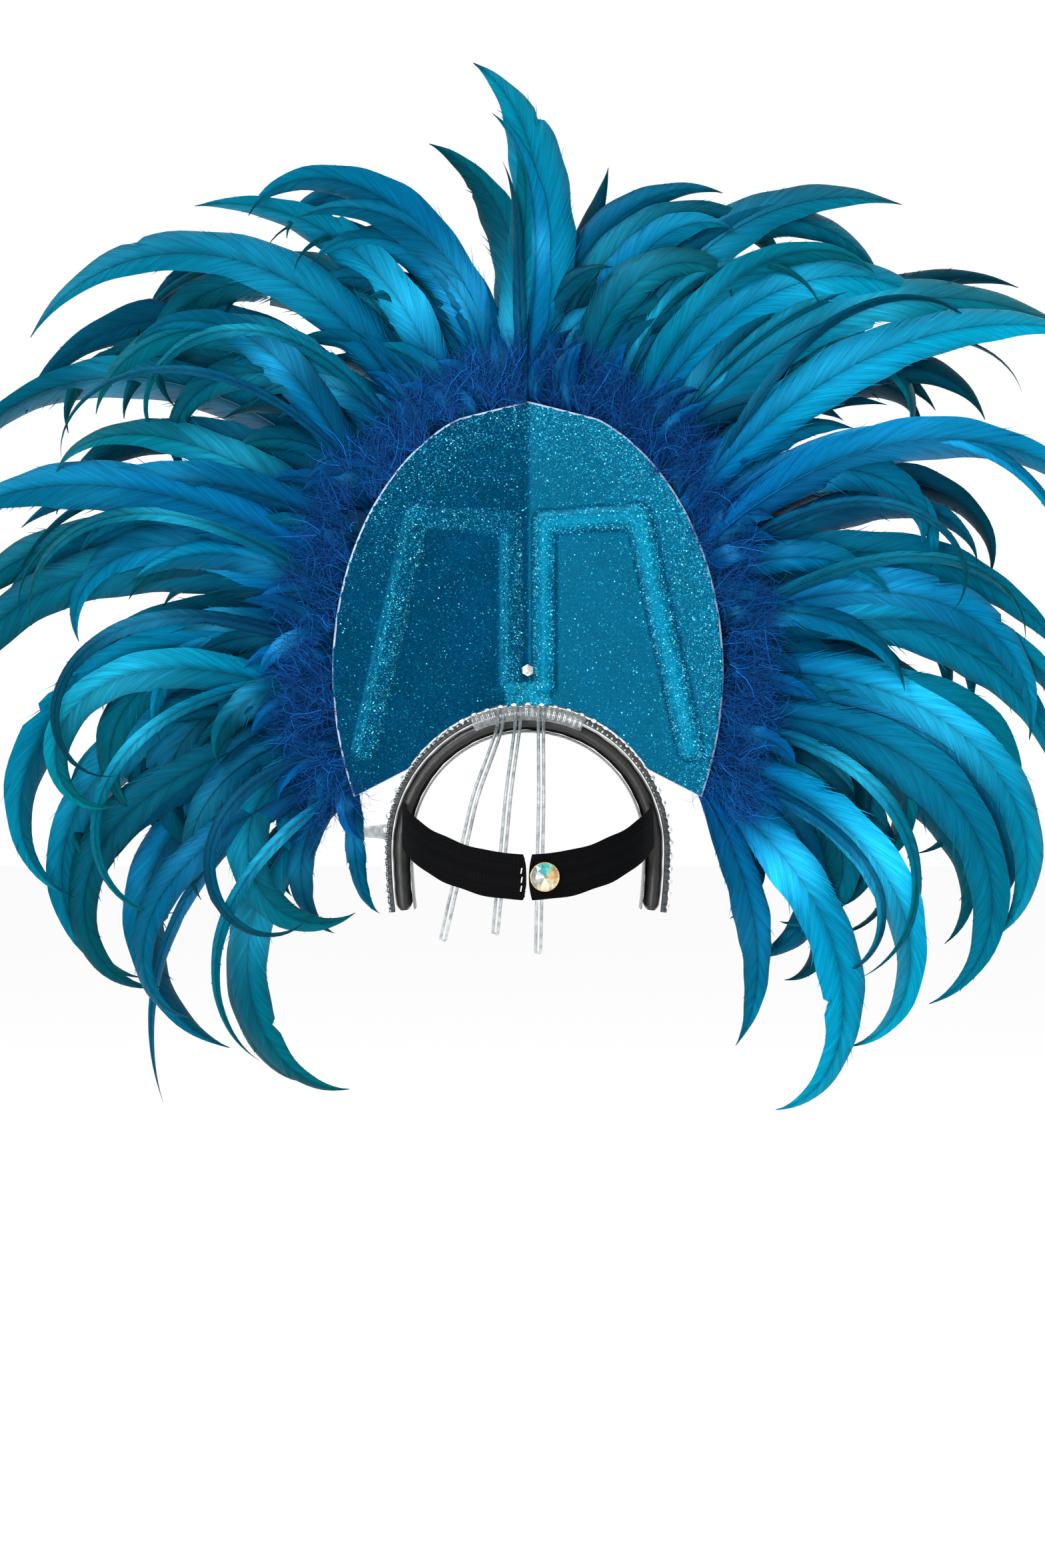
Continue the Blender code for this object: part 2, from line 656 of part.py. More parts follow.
def build_side_stay(material, collection):
    """Clear arm that tapers from the band's left side out to the feathers."""
    start = -(BAND_OUTER_RADIUS + CLEARANCE)
    sections = []
    for share in (0, 0.5, 1):
        half = (STAY_HEIGHT_AT_BAND + (STAY_HEIGHT_AT_FEATHER - STAY_HEIGHT_AT_BAND) * share) / 2
        x = start - STAY_LENGTH * share
        sections.append([Vector((x, STAY_Y + deep * STAY_THICKNESS / 2, STAY_Z + up * half))
                         for deep, up in ((1, 1), (1, -1), (-1, -1), (-1, 1))])
    return add_object("side_stay", loft_mesh("side_stay", sections), material, collection)


def fan_y(x, z, offset):
    """Depth of a feather layer: against the panel at the rim, spreading, tips swept back."""
    up = z - PANEL_SHOULDER_Z
    rise = PANEL_TOP_Z - PANEL_SHOULDER_Z if up > 0 else PANEL_HALF_WIDTH
    rims_out = math.hypot(x / PANEL_HALF_WIDTH, up / rise)
    reach = math.hypot(x, up) * (1 - 1 / rims_out) if rims_out > 1 else 0
    share = reach / FAN_REACH
    spread = offset * (1 + FAN_SPREAD * share ** 2)
    return panel_y(x) + CLEARANCE + spread - FAN_SWEEP * share ** 2


def feather_line(row):
    """Flat middle line of a feather on the right side, as x, z and heading at each step."""
    degrees, heading, curl, length_share, _ = row
    x, z = rim_point(degrees)
    angle = math.radians(heading)
    x -= FEATHER_ROOT_INSET * math.sin(angle)
    z -= FEATHER_ROOT_INSET * math.cos(angle)
    length = FEATHER_LENGTH * length_share + FEATHER_ROOT_INSET
    per_step = FEATHER_LINE_PIECES // FEATHER_STEPS
    line = [(x, z, angle)]
    for piece in range(FEATHER_LINE_PIECES):
        share = (piece + 0.5) / FEATHER_LINE_PIECES
        angle = math.radians(heading + curl * share ** FEATHER_CURL_POWER)
        x += math.sin(angle) * length / FEATHER_LINE_PIECES
        z += math.cos(angle) * length / FEATHER_LINE_PIECES
        if (piece + 1) % per_step == 0:
            line.append((x, z, angle))
    return line


def feather_half_width(share):
    """Half the vane's width along a feather, as a share: narrow foot, full middle, pointed tip."""
    opening = FEATHER_FOOT_SHARE + (1 - FEATHER_FOOT_SHARE) * min(share / FEATHER_FULL_FROM, 1)
    taper = max((share - FEATHER_TAPER_FROM) / (1 - FEATHER_TAPER_FROM), 0)
    closing = 1 - (1 - FEATHER_TIP_SHARE) * taper ** 2
    return opening * closing


def add_feather(bm, side, row, offset):
    """One feather as a thin vane with a raised quill line, lying in its layer."""
    line = feather_line(row)
    width = FEATHER_WIDTH * row[4]
    sections = []
    for index, (x, z, angle) in enumerate(line):
        half = width / 2 * feather_half_width(index / (len(line) - 1))
        across = (math.cos(angle), -math.sin(angle))
        ring = []
        for reach, lift in ((-1, 0), (0, 1), (1, 0), (0, -1)):
            px = x + across[0] * half * reach
            pz = z + across[1] * half * reach
            py = fan_y(px, pz, offset) + lift * FEATHER_THICKNESS / 2
            ring.append(Vector((side * px, py, pz)))
        sections.append(ring)
    loft_into(bm, sections)


def with_fillers(rows):
    """The listed feathers, with a shorter one between each two neighbours and one after."""
    result = []
    for row, following in zip(rows, rows[1:] + [None]):
        result.append(row)
        if following is None:
            filler = [row[0] + FILLER_STEP_DEGREES, row[1] + FILLER_STEP_HEADING,
                      row[2] * FILLER_CURL_SHARE, row[3], row[4]]
        else:
            filler = [(a + b) / 2 for a, b in zip(row, following)]
        filler[3] *= FILLER_LENGTH_SHARE
        result.append(tuple(filler))
    return result


def build_plume(plume, material, collection):
    """Bundle of feathers fused to the downy tuft at the rim."""
    side = plume["side"]
    rows = with_fillers(plume["feathers"])
    base = (LAYER_THICKNESS + CLEARANCE) * plume["layer"]
    tuft = build_tuft(plume["name"], side, rows, base, material, collection)
    step = LAYER_THICKNESS / len(rows)
    for index, row in enumerate(rows):
        bm = bmesh.new()
        add_feather(bm, side, row, base + step * (index + 0.5))
        feather = add_object("feather", finish_mesh("feather", bm), material, collection)
        unite(tuft, feather, "MANIFOLD")
    return tuft


def build_tuft(name, side, rows, base, material, collection):
    """Downy root of a plume: a thick strip along the rim with a scalloped outer edge."""
    margin = math.degrees(TUFT_MARGIN)
    first = max(rows[0][0] - margin, TUFT_FIRST_DEGREES)
    last = min(max(row[0] for row in rows) + margin, CORNER_DEGREES)
    low_heading = min(row[1] for row in rows)
    high_heading = max(row[1] for row in rows)
    sections = []
    for step in range(TUFT_STEPS + 1):
        degrees = first + (last - first) * step / TUFT_STEPS
        x, z = rim_point(degrees)
        angle = math.radians(low_heading + (high_heading - low_heading) * step / TUFT_STEPS)
        reach = TUFT_REACH + (TUFT_REACH_STEP if step % 2 else 0)
        if step in (0, TUFT_STEPS):
            reach *= TUFT_END_SHARE
        ring = []
        for out, deep in TUFT_PROFILE:
            px = x + math.sin(angle) * reach * out
            pz = z + math.cos(angle) * reach * out
            py = fan_y(px, pz, base + LAYER_THICKNESS * deep)
            ring.append(Vector((side * max(px, FOLD_GAP), py, pz)))
        sections.append(ring)
    return add_object(name, loft_mesh(name, sections), material, collection)


def build_headdress():
    """All pieces of the headdress."""
    clear_scene()
    collection = make_collection(COLLECTION_NAME)
    glitter = make_material("glitter_board", (0.02, 0.22, 0.38), 0.45, 0.3)
    vinyl = make_material("padded_vinyl", (0.018, 0.020, 0.018), 0.42)
    felt = make_material("grey_lining", (0.18, 0.18, 0.18), 0.95)
    clear = make_material("clear_plastic", (0.70, 0.74, 0.76), 0.18, 0.0, 0.6)
    crystal = make_material("crystal_stones", (0.80, 0.85, 0.90), 0.05, 0.2)
    steel = make_material("plated_steel", (0.55, 0.56, 0.57), 0.28, 1.0)
    elastic = make_material("black_elastic", (0.010, 0.011, 0.016), 0.80)
    rivoli = make_material("cut_crystal_button", (0.08, 0.30, 0.32), 0.06, 0.3)
    down = make_material("dyed_feather", (0.01, 0.25, 0.45), 0.60)
    build_back_panel(glitter, collection)
    build_nut(steel, collection)
    build_headband(vinyl, collection)
    build_lining(felt, collection)
    build_crystal_trim(crystal, collection)
    build_bracket(clear, collection)
    for row in PRONGS:
        build_prong(row, clear, collection)
    build_strap("strap_left", -1, elastic, collection)
    build_strap("strap_right", 1, elastic, collection)
    build_button(rivoli, collection)
    build_side_stay(clear, collection)
    for plume in PLUMES:
        build_plume(plume, down, collection)


build_headdress()
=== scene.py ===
"""Looks of the showgirl feather headdress, modelled around its fixed frame of solids.

Metres, +Z up. The wearer faces +Y, so the camera looks at the back, along +Y.
"""
import math

import bmesh
import bpy
import numpy as np
from mathutils import Matrix, Vector


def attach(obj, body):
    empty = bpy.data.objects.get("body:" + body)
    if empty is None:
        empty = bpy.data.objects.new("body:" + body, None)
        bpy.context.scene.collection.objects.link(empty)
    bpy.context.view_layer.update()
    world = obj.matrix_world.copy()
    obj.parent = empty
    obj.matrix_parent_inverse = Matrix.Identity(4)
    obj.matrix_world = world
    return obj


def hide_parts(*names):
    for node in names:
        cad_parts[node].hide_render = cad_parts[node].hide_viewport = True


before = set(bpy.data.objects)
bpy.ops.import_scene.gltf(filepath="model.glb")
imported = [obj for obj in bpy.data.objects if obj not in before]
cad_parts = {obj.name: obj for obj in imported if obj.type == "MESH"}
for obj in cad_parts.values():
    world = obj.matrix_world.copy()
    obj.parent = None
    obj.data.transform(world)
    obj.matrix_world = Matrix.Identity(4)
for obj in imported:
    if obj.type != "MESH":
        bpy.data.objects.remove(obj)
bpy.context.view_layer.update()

# Photograph: the size of its frame, a real size that gives its scale, and its middle
PHOTO_WIDTH_M = 0.690
PHOTO_CENTER = Vector((-0.0035, 0.0, -0.034))
CAMERA_DISTANCE = 3.0
CAMERA_RISE = math.radians(1.5)
SENSOR_MM = 36.0
FLOOR_Z = -0.62

# Head band, as in the solids
HEAD_RADIUS = 0.076
LINING_THICKNESS = 0.0015
LINING_HALF_DEPTH = 0.017
CLEARANCE = 0.0003
BAND_THICKNESS = 0.0114
BAND_DEPTH = 0.038
BAND_END_DROP = 0.041
BAND_END_INWARD = 0.0025
BAND_CREASE = 0.00022
BAND_CENTER_Z = -HEAD_RADIUS
BAND_MIDDLE = HEAD_RADIUS + LINING_THICKNESS + CLEARANCE + BAND_THICKNESS / 2
BAND_OUTER = BAND_MIDDLE + BAND_THICKNESS / 2

# Strip of stones, prongs, bracket, strap, button, arm and nut, as in the solids
TRIM_HEIGHT = 0.0045
TRIM_DEPTH = 0.0054
TRIM_Y = -0.0138
STONE_WIDTH = 0.0054
STONE_PITCH = 0.0086
STONE_TILT = math.radians(38)
STONE_SINK = 0.0007
WIRE_WIDTH = 0.0021
HAIRPIN_WIDTH = 0.0054
BRACKET_RADIUS = BAND_MIDDLE + 0.0006
BRACKET_HEIGHT = 0.0105
BRACKET_THICKNESS = 0.0046
BRACKET_HALF_ANGLE = math.radians(24)
BRACKET_TOOTH_PITCH = 0.0034
TRIM_RIB_PITCH = 0.0035
STRAP_HEIGHT = 0.030
STRAP_THICKNESS = 0.0018
STRAP_REACH = 0.079
STRAP_END_Z = -0.060
STRAP_BACK_Z = -0.091
STRAP_GAP = 0.0010
STRAP_HEM = 0.00012
STRAP_EDGE = 0.00010
STRAP_WAVE = 0.00025
# How far the strap's cut end bows and frays, as angles round the strap
CUT_BOW = 0.026
CUT_FRAY = 0.010
BAND_REAR_Y = -BAND_DEPTH / 2
BUTTON_RADIUS = 0.0095
BUTTON_X = 0.0105
BUTTON_BOW = 0.0006
CUP_DEPTH = 0.0025
CUP_BEVEL = 0.0005
CUP_LIP = 0.00042
NUT_Z = 0.041
NUT_RADIUS = 0.0042
NUT_HEIGHT = 0.0034
NUT_MIDDLE = 0.0021
NUT_BEVEL = 0.0004
NUT_RING_RADIUS = 0.0021
NUT_RING_WIDTH = 0.00035
NUT_RING_HEIGHT = 0.0038
BOLT_RADIUS = 0.0018
BOLT_HEIGHT = 0.0036
STAY_Z = -0.066
STAY_Y = 0.004
STAY_LENGTH = 0.0235
STAY_ROOT_HALF = 0.00575
STAY_TIP_HALF = 0.00325
STAY_HALF_THICKNESS = 0.00145

# Places x, z of the stitches in the strap's left hem
STITCHES = [(-0.0042, -0.0869), (-0.0040, -0.0926), (-0.0044, -0.0983)]
STITCH_LENGTH = 0.0036
THREAD_WIDTH = 0.00075
THREAD_LIFT = 0.0005
THREAD_BOW = 0.0036
THREAD_LEAN = 0.0006

# Rings of the button's stone: share of its radius, height, turn as a share of one side
BUTTON_SIDES = 14
BUTTON_RINGS = [(0.93, 0.0022, 0), (0.95, 0.0028, 0), (0.66, 0.0048, 0.5), (0.10, 0.0066, 0)]
# Colour of the stone's foil, by share of a turn from its right side
FOIL_TURN = [(0.00, "#B9935A"), (0.10, "#C8A468"), (0.20, "#4FC3B8"), (0.30, "#1FA7A6"),
             (0.40, "#6E8C8C"), (0.50, "#77746E"), (0.60, "#8A867E"), (0.72, "#CFC3A4"),
             (0.85, "#DCCFAE"), (1.00, "#B9935A")]

# Depth and height of a prong's points, as shares of the strap's reach and the prong's length
PRONG_SIDE = [(0.035, 0.00), (0.24, 0.03), (0.53, 0.14), (0.78, 0.33), (0.90, 0.56),
              (0.935, 0.80), (0.91, 1.00)]
# Name, top x, waist x, tip x, drop
PRONGS = [
    ("prong_left", -0.018, -0.034, -0.055, 0.137),
    ("prong_center", -0.0065, -0.0125, -0.021, 0.134),
    ("prong_right", 0.0085, 0.0085, 0.0065, 0.146),
]
PRONG_WAIST_SHARE = 0.33
# How far above its top a prong starts, behind the bracket
PRONG_STARTS = (0.0105, 0.0045)

# Feathers that the photograph shows beside the solids' main ones, as side, layer and row
EXTRA_FEATHERS = {
    "plume_right_1": [(3, 3, 88, 0.60, 0.90), (9, 8, 104, 0.62, 1.00), (18, 20, 62, 0.60, 0.80)],
    "plume_left_1": [(3, -12, 30, 0.56, 0.70), (10, 0, 112, 0.60, 0.95)],
    "plume_right_3": [(58, 46, 150, 1.00, 0.35)],
    "plume_left_6": [(134, 176, 24, 0.24, 0.45), (120, 120, 80, 0.80, 0.35)],
    "plume_right_6": [(133, 150, 50, 0.50, 0.80)],
}

# Back panel, as in the solids
PANEL_HALF_WIDTH = 0.128
PANEL_TOP_Z = 0.218
PANEL_SHOULDER_Z = 0.040
PANEL_CORNER_Z = -0.042
PANEL_CORNER_INSET = 0.014
PANEL_FOLD_Y = -0.005
PANEL_SLOPE = 0.020 / PANEL_HALF_WIDTH
PANEL_THICKNESS = 0.0025
NOTCH_RADIUS = BAND_OUTER + 0.0056
NOTCH_ARC_END = math.radians(57)
PANEL_FOOT_HALF_WIDTH = 0.014
FOOT_TOP_Z = 0.034
PEAK_SLOPE = 0.26
RIM_BEVEL = 0.0013
RIM_MIDDLE = Vector((0, 0, 0.06))
# The net that the board is cut into: its step, half width, height and lowest line
NET_STEP = 0.0026
NET_HALF_WIDTH = 0.130
NET_HEIGHT = 0.262
NET_LOW_Z = -0.044
BOARD_WAVE = 0.00021
BOARD_FRONT_GAP = 0.0001
# Raised wire channels of the right half: ends and half width
CHANNELS = [
    ((0.0105, 0.138), (0.072, 0.142), 0.0052),
    ((0.072, 0.142), (0.106, -0.010), 0.0060),
    ((0.0105, 0.138), (0.0105, 0.031), 0.0048),
]
CHANNEL_RISE = 0.0024
CHANNEL_FLANK = 0.0022
CHANNEL_BLEND = 0.0034

# Feathers, as in the solids
FEATHER_LENGTH = 0.350
FEATHER_HALF_WIDTH = 0.0145
ROOT_INSET = 0.010
CURL_POWER = 1.5
FAN_REACH = 0.250
FAN_SPREAD = 1.1
FAN_SWEEP = 0.022
LAYER_PITCH = 0.0108

# Each plume's layer and main feathers, from the top of the panel down to its lower corner:
# place round the rim, heading, curl, length share, width share
PLUMES = [
    ("plume_left_1", -1, 0, [(6, -5, -4, 0.50, 0.80), (7, -21, 56, 0.68, 1.25),
                             (13, 2, 112, 0.73, 1.00)]),
    ("plume_left_2", -1, 1, [(23, 14, 88, 0.69, 1.00), (32, 24, 128, 0.94, 1.00)]),
    ("plume_left_3", -1, 2, [(43, 30, 124, 0.88, 0.95), (53, 42, 112, 0.97, 1.05)]),
    ("plume_left_4", -1, 0, [(60, 62, 62, 0.66, 0.90), (69, 58, 58, 0.80, 1.10)]),
    ("plume_left_5", -1, 1, [(78, 62, 122, 0.98, 1.00), (87, 76, 136, 0.94, 1.10)]),
    ("plume_left_6", -1, 2, [(100, 84, 150, 0.95, 1.00), (114, 100, 150, 0.86, 1.00),
                             (126, 132, 112, 0.76, 0.85)]),
    ("plume_right_1", 1, 2, [(7, 4, 140, 0.72, 0.95), (15, 14, 128, 0.80, 0.95),
                             (22, 17, 92, 0.77, 1.05)]),
    ("plume_right_2", 1, 1, [(32, 27, 100, 0.76, 1.00), (40, 38, 88, 0.90, 1.00)]),
    ("plume_right_3", 1, 0, [(53, 40, 66, 0.86, 1.05), (63, 48, 96, 0.88, 1.00)]),
    ("plume_right_4", 1, 2, [(71, 68, 84, 0.74, 0.95), (80, 78, 88, 0.78, 1.05)]),
    ("plume_right_5", 1, 1, [(90, 86, 116, 0.92, 1.00), (105, 88, 136, 0.92, 1.05)]),
    ("plume_right_6", 1, 0, [(121, 106, 112, 0.78, 0.95), (131, 126, 92, 0.75, 0.95)]),
]
MAIN_WIDTH = 1.15
FILL_EVERY_DEGREES = 3.9
UNDER_EVERY_DEGREES = 3.0
STRAY_EVERY_DEGREES = 12.0
PLUMULE_EVERY_DEGREES = 3.8
LOW_FROM_DEGREES = 88
LOW_SKIP_SHARE = 0.35
DOWN_EVERY_DEGREES = 0.68
VANE_ROWS = 44
VANE_THICKNESS = 0.0004
QUILL_THICKNESS = 0.0010
BARBS = 44
BARB_SLOPE = 2.1
BARB_FOOT = 0.0015
BARB_STICKS_OUT = 0.12
HOOK_POWER = 7
PATH_STEPS = 64
STRANDS = 26
STRAND_LENGTHS = (0.010, 0.034)
STRAND_WIDTHS = (0.00014, 0.00028)
TUFT_OUT = 0.004
TUFT_HALF_WIDTH = 0.015
TUFT_HALF_DEPTH = 0.0035
MIDDLE_GAP = 0.0004

# Dyes, each as root, middle, tip and dark end; deep is also a darker copy used as painted shade for
# feathers set far back
DYES = {
    "bright": ("#004682", "#007398", "#007A94", "#0A3038"),
    "blue": ("#003C78", "#005884", "#00627E", "#08242E"),
    "teal": ("#00446E", "#00627C", "#00585F", "#0A2A24"),
    "deep": ("#002F5C", "#004060", "#00444E", "#061E22"),
    "down": ("#002858", "#003468", "#004880", "#003060"),
}


def linear(code):
    """An sRGB hex colour as linear red, green, blue and alpha."""
    parts = [int(code[i:i + 2], 16) / 255 for i in (1, 3, 5)]
    return [p / 12.92 if p <= 0.04045 else ((p + 0.055) / 1.055) ** 2.4 for p in parts] + [1.0]


def clamp(value, low=0, high=1):
    """A value kept between two limits."""
    return min(max(value, low), high)


def connect(tree, source, item, key):
    """Link a socket, or a node's first output, to an input."""
    tree.links.new(getattr(source, "outputs", [source])[0], item.inputs[key])


def add_node(tree, kind, links=None, inputs=None, **settings):
    """Add a shader node, set its properties and unlinked inputs, and link the others."""
    item = tree.nodes.new("ShaderNode" + kind)
    for key, value in settings.items():
        setattr(item, key, value)
    for key, value in (inputs or {}).items():
        item.inputs[key].default_value = value
    for key, source in (links or {}).items():
        connect(tree, source, item, key)
    return item


def start_material(name, color, roughness, metallic=0.0, **inputs):
    """A Principled material and its tree and shader, with its constant values set."""
    material = bpy.data.materials.new(name)
    material.use_nodes = True
    tree = material.node_tree
    shader = tree.nodes["Principled BSDF"]
    shader.inputs["Base Color"].default_value = linear(color)
    shader.inputs["Roughness"].default_value = roughness
    shader.inputs["Metallic"].default_value = metallic
    for key, value in inputs.items():
        shader.inputs[key.replace("_", " ")].default_value = value
    return material, tree, shader


def object_place(tree):
    """Object coordinates."""
    return add_node(tree, "TexCoord").outputs["Object"]


def noise(tree, place, scale, detail=2.0, **inputs):
    """Noise texture."""
    return add_node(tree, "TexNoise", {"Vector": place},
                    {"Scale": scale, "Detail": detail, **inputs})


def cells(tree, place, scale):
    """Voronoi texture, whose first output is the distance to a cell's middle."""
    return add_node(tree, "TexVoronoi", {"Vector": place}, {"Scale": scale})


def bands(tree, place, direction, scale, distortion, detail=2.0):
    """Even bands across a direction."""
    return add_node(tree, "TexWave", {"Vector": place},
                    {"Scale": scale, "Distortion": distortion, "Detail": detail},
                    wave_type="BANDS", bands_direction=direction).outputs["Fac"]


def split(tree, color):
    """The red, green and blue of a colour."""
    return add_node(tree, "SeparateColor", {"Color": color}).outputs


def combine(tree, operation, first, second):
    """Two values combined by a math operation."""
    return add_node(tree, "Math", {0: first, 1: second}, operation=operation)


def remap(tree, source, low, high, to_low, to_high):
    """A value's range carried over to another range."""
    return add_node(tree, "MapRange", {"Value": source},
                    {"From Min": low, "From Max": high, "To Min": to_low, "To Max": to_high})


def scaled(tree, vector, factor):
    """A colour or direction times a factor."""
    return add_node(tree, "VectorMath", {0: vector, "Scale": factor}, operation="SCALE")


def mixed(tree, factor, low, high):
    """Two colours mixed by a factor."""
    return add_node(tree, "Mix", {"Factor": factor, "A": low, "B": high},
                    data_type="RGBA").outputs["Result"]


def ramp(tree, source, stops):
    """Colour ramp through (place, hex colour) stops."""
    item = add_node(tree, "ValToRGB", {"Fac": source})
    while len(item.color_ramp.elements) < len(stops):
        item.color_ramp.elements.new(0.5)
    for element, (place, color) in zip(item.color_ramp.elements, stops):
        element.position = place
        element.color = linear(color)
    return item


def raise_bumps(tree, shader, height, strength, distance, over=None):
    """Give the shader a fine relief, over another one if that is given."""
    links = {"Height": height, "Normal": over} if over else {"Height": height}
    bump = add_node(tree, "Bump", links, {"Strength": strength, "Distance": distance})
    connect(tree, bump, shader, "Normal")
    return bump


def grained(name, color, roughness, metallic, scale, detail, low, high, **inputs):
    """A finish whose colour follows fine noise, and its tree, shader and noise."""
    material, tree, shader = start_material(name, color, roughness, metallic, **inputs)
    grain = noise(tree, object_place(tree), scale, detail)
    connect(tree, ramp(tree, grain, [(0.3, low), (0.7, high)]), shader, "Base Color")
    return material, tree, shader, grain


# Finishes with plain grain: colour, roughness, metallic, scale, detail, low and high colour
GRAINED = {
    # Cut edge of the foam board: pale lavender, matt, with fine open cells
    "foam_board_edge": ("#A9C0DC", 0.80, 0.0, 900.0, 2.0, "#8FA9CC", "#C4D5EA"),
    # Thin gilt brass round the button's stone, lightly brushed
    "gilt_brass": ("#C9A45C", 0.28, 1.0, 1200.0, 1.0, "#9C7C40", "#E6CB8C"),
    # Zinc plated steel: bright grey with fine turning marks
    "plated_steel": ("#B9BCBE", 0.26, 1.0, 1500.0, 1.0, "#8F9396", "#D5D8DA"),
    # White sewing thread, matt with a slight twist
    "cotton_thread": ("#E9EBEA", 0.85, 0.0, 2500.0, 2.0, "#C9CCCB", "#FAFAFA"),
}


def dyed_feather():
    """Rooster tail feather, dyed: silky barbs give fine slanted lines and a satin gloss."""
    material, tree, shader = start_material(
        "dyed_rooster_feather", "#0A86AE", 0.38, Specular_IOR_Level=0.50)
    shader.inputs["Specular Tint"].default_value = linear("#1EA4DC")
    # Per-point colours: the dye, with the feathers' painted shade and painted highlight
    dye_and_painted_light = add_node(tree, "VertexColor", layer_name="surface_colors")
    place = add_node(tree, "UVMap", uv_map="barbs")
    # One unit of the map is 10 mm; barbs are 0.5 mm apart, drawn 1 mm apart so that they show
    fine = add_node(tree, "Mapping", {"Vector": place}, {"Scale": (0.9, 10.0, 1.0)})
    streaks = noise(tree, fine, 1.0, 3.0, Roughness=0.6)
    broad = add_node(tree, "Mapping", {"Vector": place}, {"Scale": (0.5, 1.6, 1.0)})
    clumps = noise(tree, broad, 1.0)
    shade = combine(tree, "MULTIPLY", remap(tree, streaks, 0.30, 0.72, 0.60, 1.40),
                    remap(tree, clumps, 0.3, 0.7, 0.80, 1.20))
    connect(tree, scaled(tree, dye_and_painted_light, shade), shader, "Base Color")
    raise_bumps(tree, shader, streaks, 0.55, 0.0005)
    return material


def dyed_down():
    """Down at the feathers' roots, dyed royal blue: matt and soft."""
    material, tree, shader = start_material(
        "dyed_down", "#0A57A0", 0.75, Specular_IOR_Level=0.12)
    connect(tree, add_node(tree, "VertexColor", layer_name="surface_colors"), shader, "Base Color")
    return material


def glitter_board():
    """Glitter foam board: a glossy dark blue film over fine curled glitter, whose shining flakes
    are painted glints, thick on the ridges.
    """
    material, tree, shader = start_material("glitter_board", "#05385C", 0.34,
                                            Specular_IOR_Level=0.6)
    shader.inputs["Specular Tint"].default_value = linear("#19A6CC")
    place = object_place(tree)
    # Flakes are 0.4 mm wide, drawn 0.7 mm so that they show
    flakes = cells(tree, place, 1 / 0.0007).outputs["Color"]
    chance = split(tree, flakes)
    level = split(tree, add_node(tree, "VertexColor", layer_name="sparkle"))
    # A curl is where the noise is near its middle; it is wider where the painted glints are thicker
    away = add_node(tree, "Math", {0: noise(tree, place, 300.0, 1.5, Distortion=2.2)}, {1: 0.5},
                    operation="SUBTRACT")
    near = add_node(tree, "Math", {0: away}, operation="ABSOLUTE")
    lit = combine(tree, "GREATER_THAN", level["Red"],
                  combine(tree, "MULTIPLY", chance["Red"], near))
    film = ramp(tree, chance["Green"], [(0.0, "#001A34"), (0.5, "#002440"), (1.0, "#00304E")])
    # Paler film, drawn on the right half's channels as painted light and on the foot below the fold
    pale_film = ramp(tree, chance["Green"], [(0.0, "#006484"), (1.0, "#04809E")])
    clouds = remap(tree, noise(tree, place, 45.0, 3.0), 0.3, 0.7, 0.85, 1.30)
    base = scaled(tree, mixed(tree, level["Green"], film, pale_film), clouds)
    # Painted glints: the shining flakes' bright colour
    bright = ramp(tree, chance["Blue"], [(0.0, "#0678A0"), (0.8, "#2CA9C6"), (1.0, "#9CECF6")])
    connect(tree, mixed(tree, lit, base, bright), shader, "Base Color")
    # Each flake leans its own way, the shining ones most
    middle = add_node(tree, "VectorMath", {0: flakes}, {1: (0.5, 0.5, 0.5)},
                      operation="SUBTRACT")
    lean = scaled(tree, middle, remap(tree, lit, 0.0, 1.0, 0.05, 0.45))
    face = add_node(tree, "NewGeometry").outputs["Normal"]
    turned = add_node(tree, "VectorMath", {0: face, 1: lean}, operation="ADD")
    unit = add_node(tree, "VectorMath", {0: turned}, operation="NORMALIZE")
    connect(tree, unit, shader, "Normal")
    return material


def padded_vinyl():
    """Soft vinyl over foam: olive black, a satin skin with fine grain and shallow creases."""
    material, tree, shader, creases = grained("padded_vinyl", "#131512", 0.38, 0.0, 90.0, 3.0,
                                              "#0B0C0A", "#191B18", Specular_IOR_Level=0.4)
    low = raise_bumps(tree, shader, creases, 0.35, 0.0012)
    grain = cells(tree, object_place(tree), 1 / 0.0011)
    raise_bumps(tree, shader, grain, 0.25, 0.0002, low)
    return material


def lining_cloth():
    """Grey plain woven lining, its threads 0.7 mm apart."""
    material, tree, shader = start_material("lining_cloth", "#5E6163", 0.95, Sheen_Weight=0.15)
    place = object_place(tree)
    thread = 0.0007
    rows = bands(tree, place, "Z", 1 / (thread * 6.2832), 0.6, 1.0)
    weave = combine(tree, "MULTIPLY", rows, noise(tree, place, 0.4 / thread))
    connect(tree, ramp(tree, weave, [(0.1, "#5E6163"), (0.6, "#8C9092")]), shader, "Base Color")
    raise_bumps(tree, shader, weave, 0.4, 0.0003)
    return material


def clear_plastic(name, low, high):
    """Moulded clear polystyrene: see-through with a grey cast and soft mould marks."""
    material, tree, shader, waves = grained(name, high, 0.07, 0.0, 260.0, 2.0, low, high,
                                            Transmission_Weight=0.82, IOR=1.50)
    raise_bumps(tree, shader, waves, 0.06, 0.0004)
    return material


def cut_glass():
    """Foil-backed cut glass chips: clear facets over silver, each a little lighter or darker."""
    material, tree, shader = start_material("cut_glass", "#E8EEF0", 0.08, 0.15,
                                            Coat_Weight=0.5)
    chance = split(tree, cells(tree, object_place(tree), 420.0).outputs["Color"])
    tone = ramp(tree, chance["Red"], [(0.0, "#8B979C"), (0.3, "#DDE4E6"), (1.0, "#FFFFFF")])
    connect(tree, tone, shader, "Base Color")
    return material


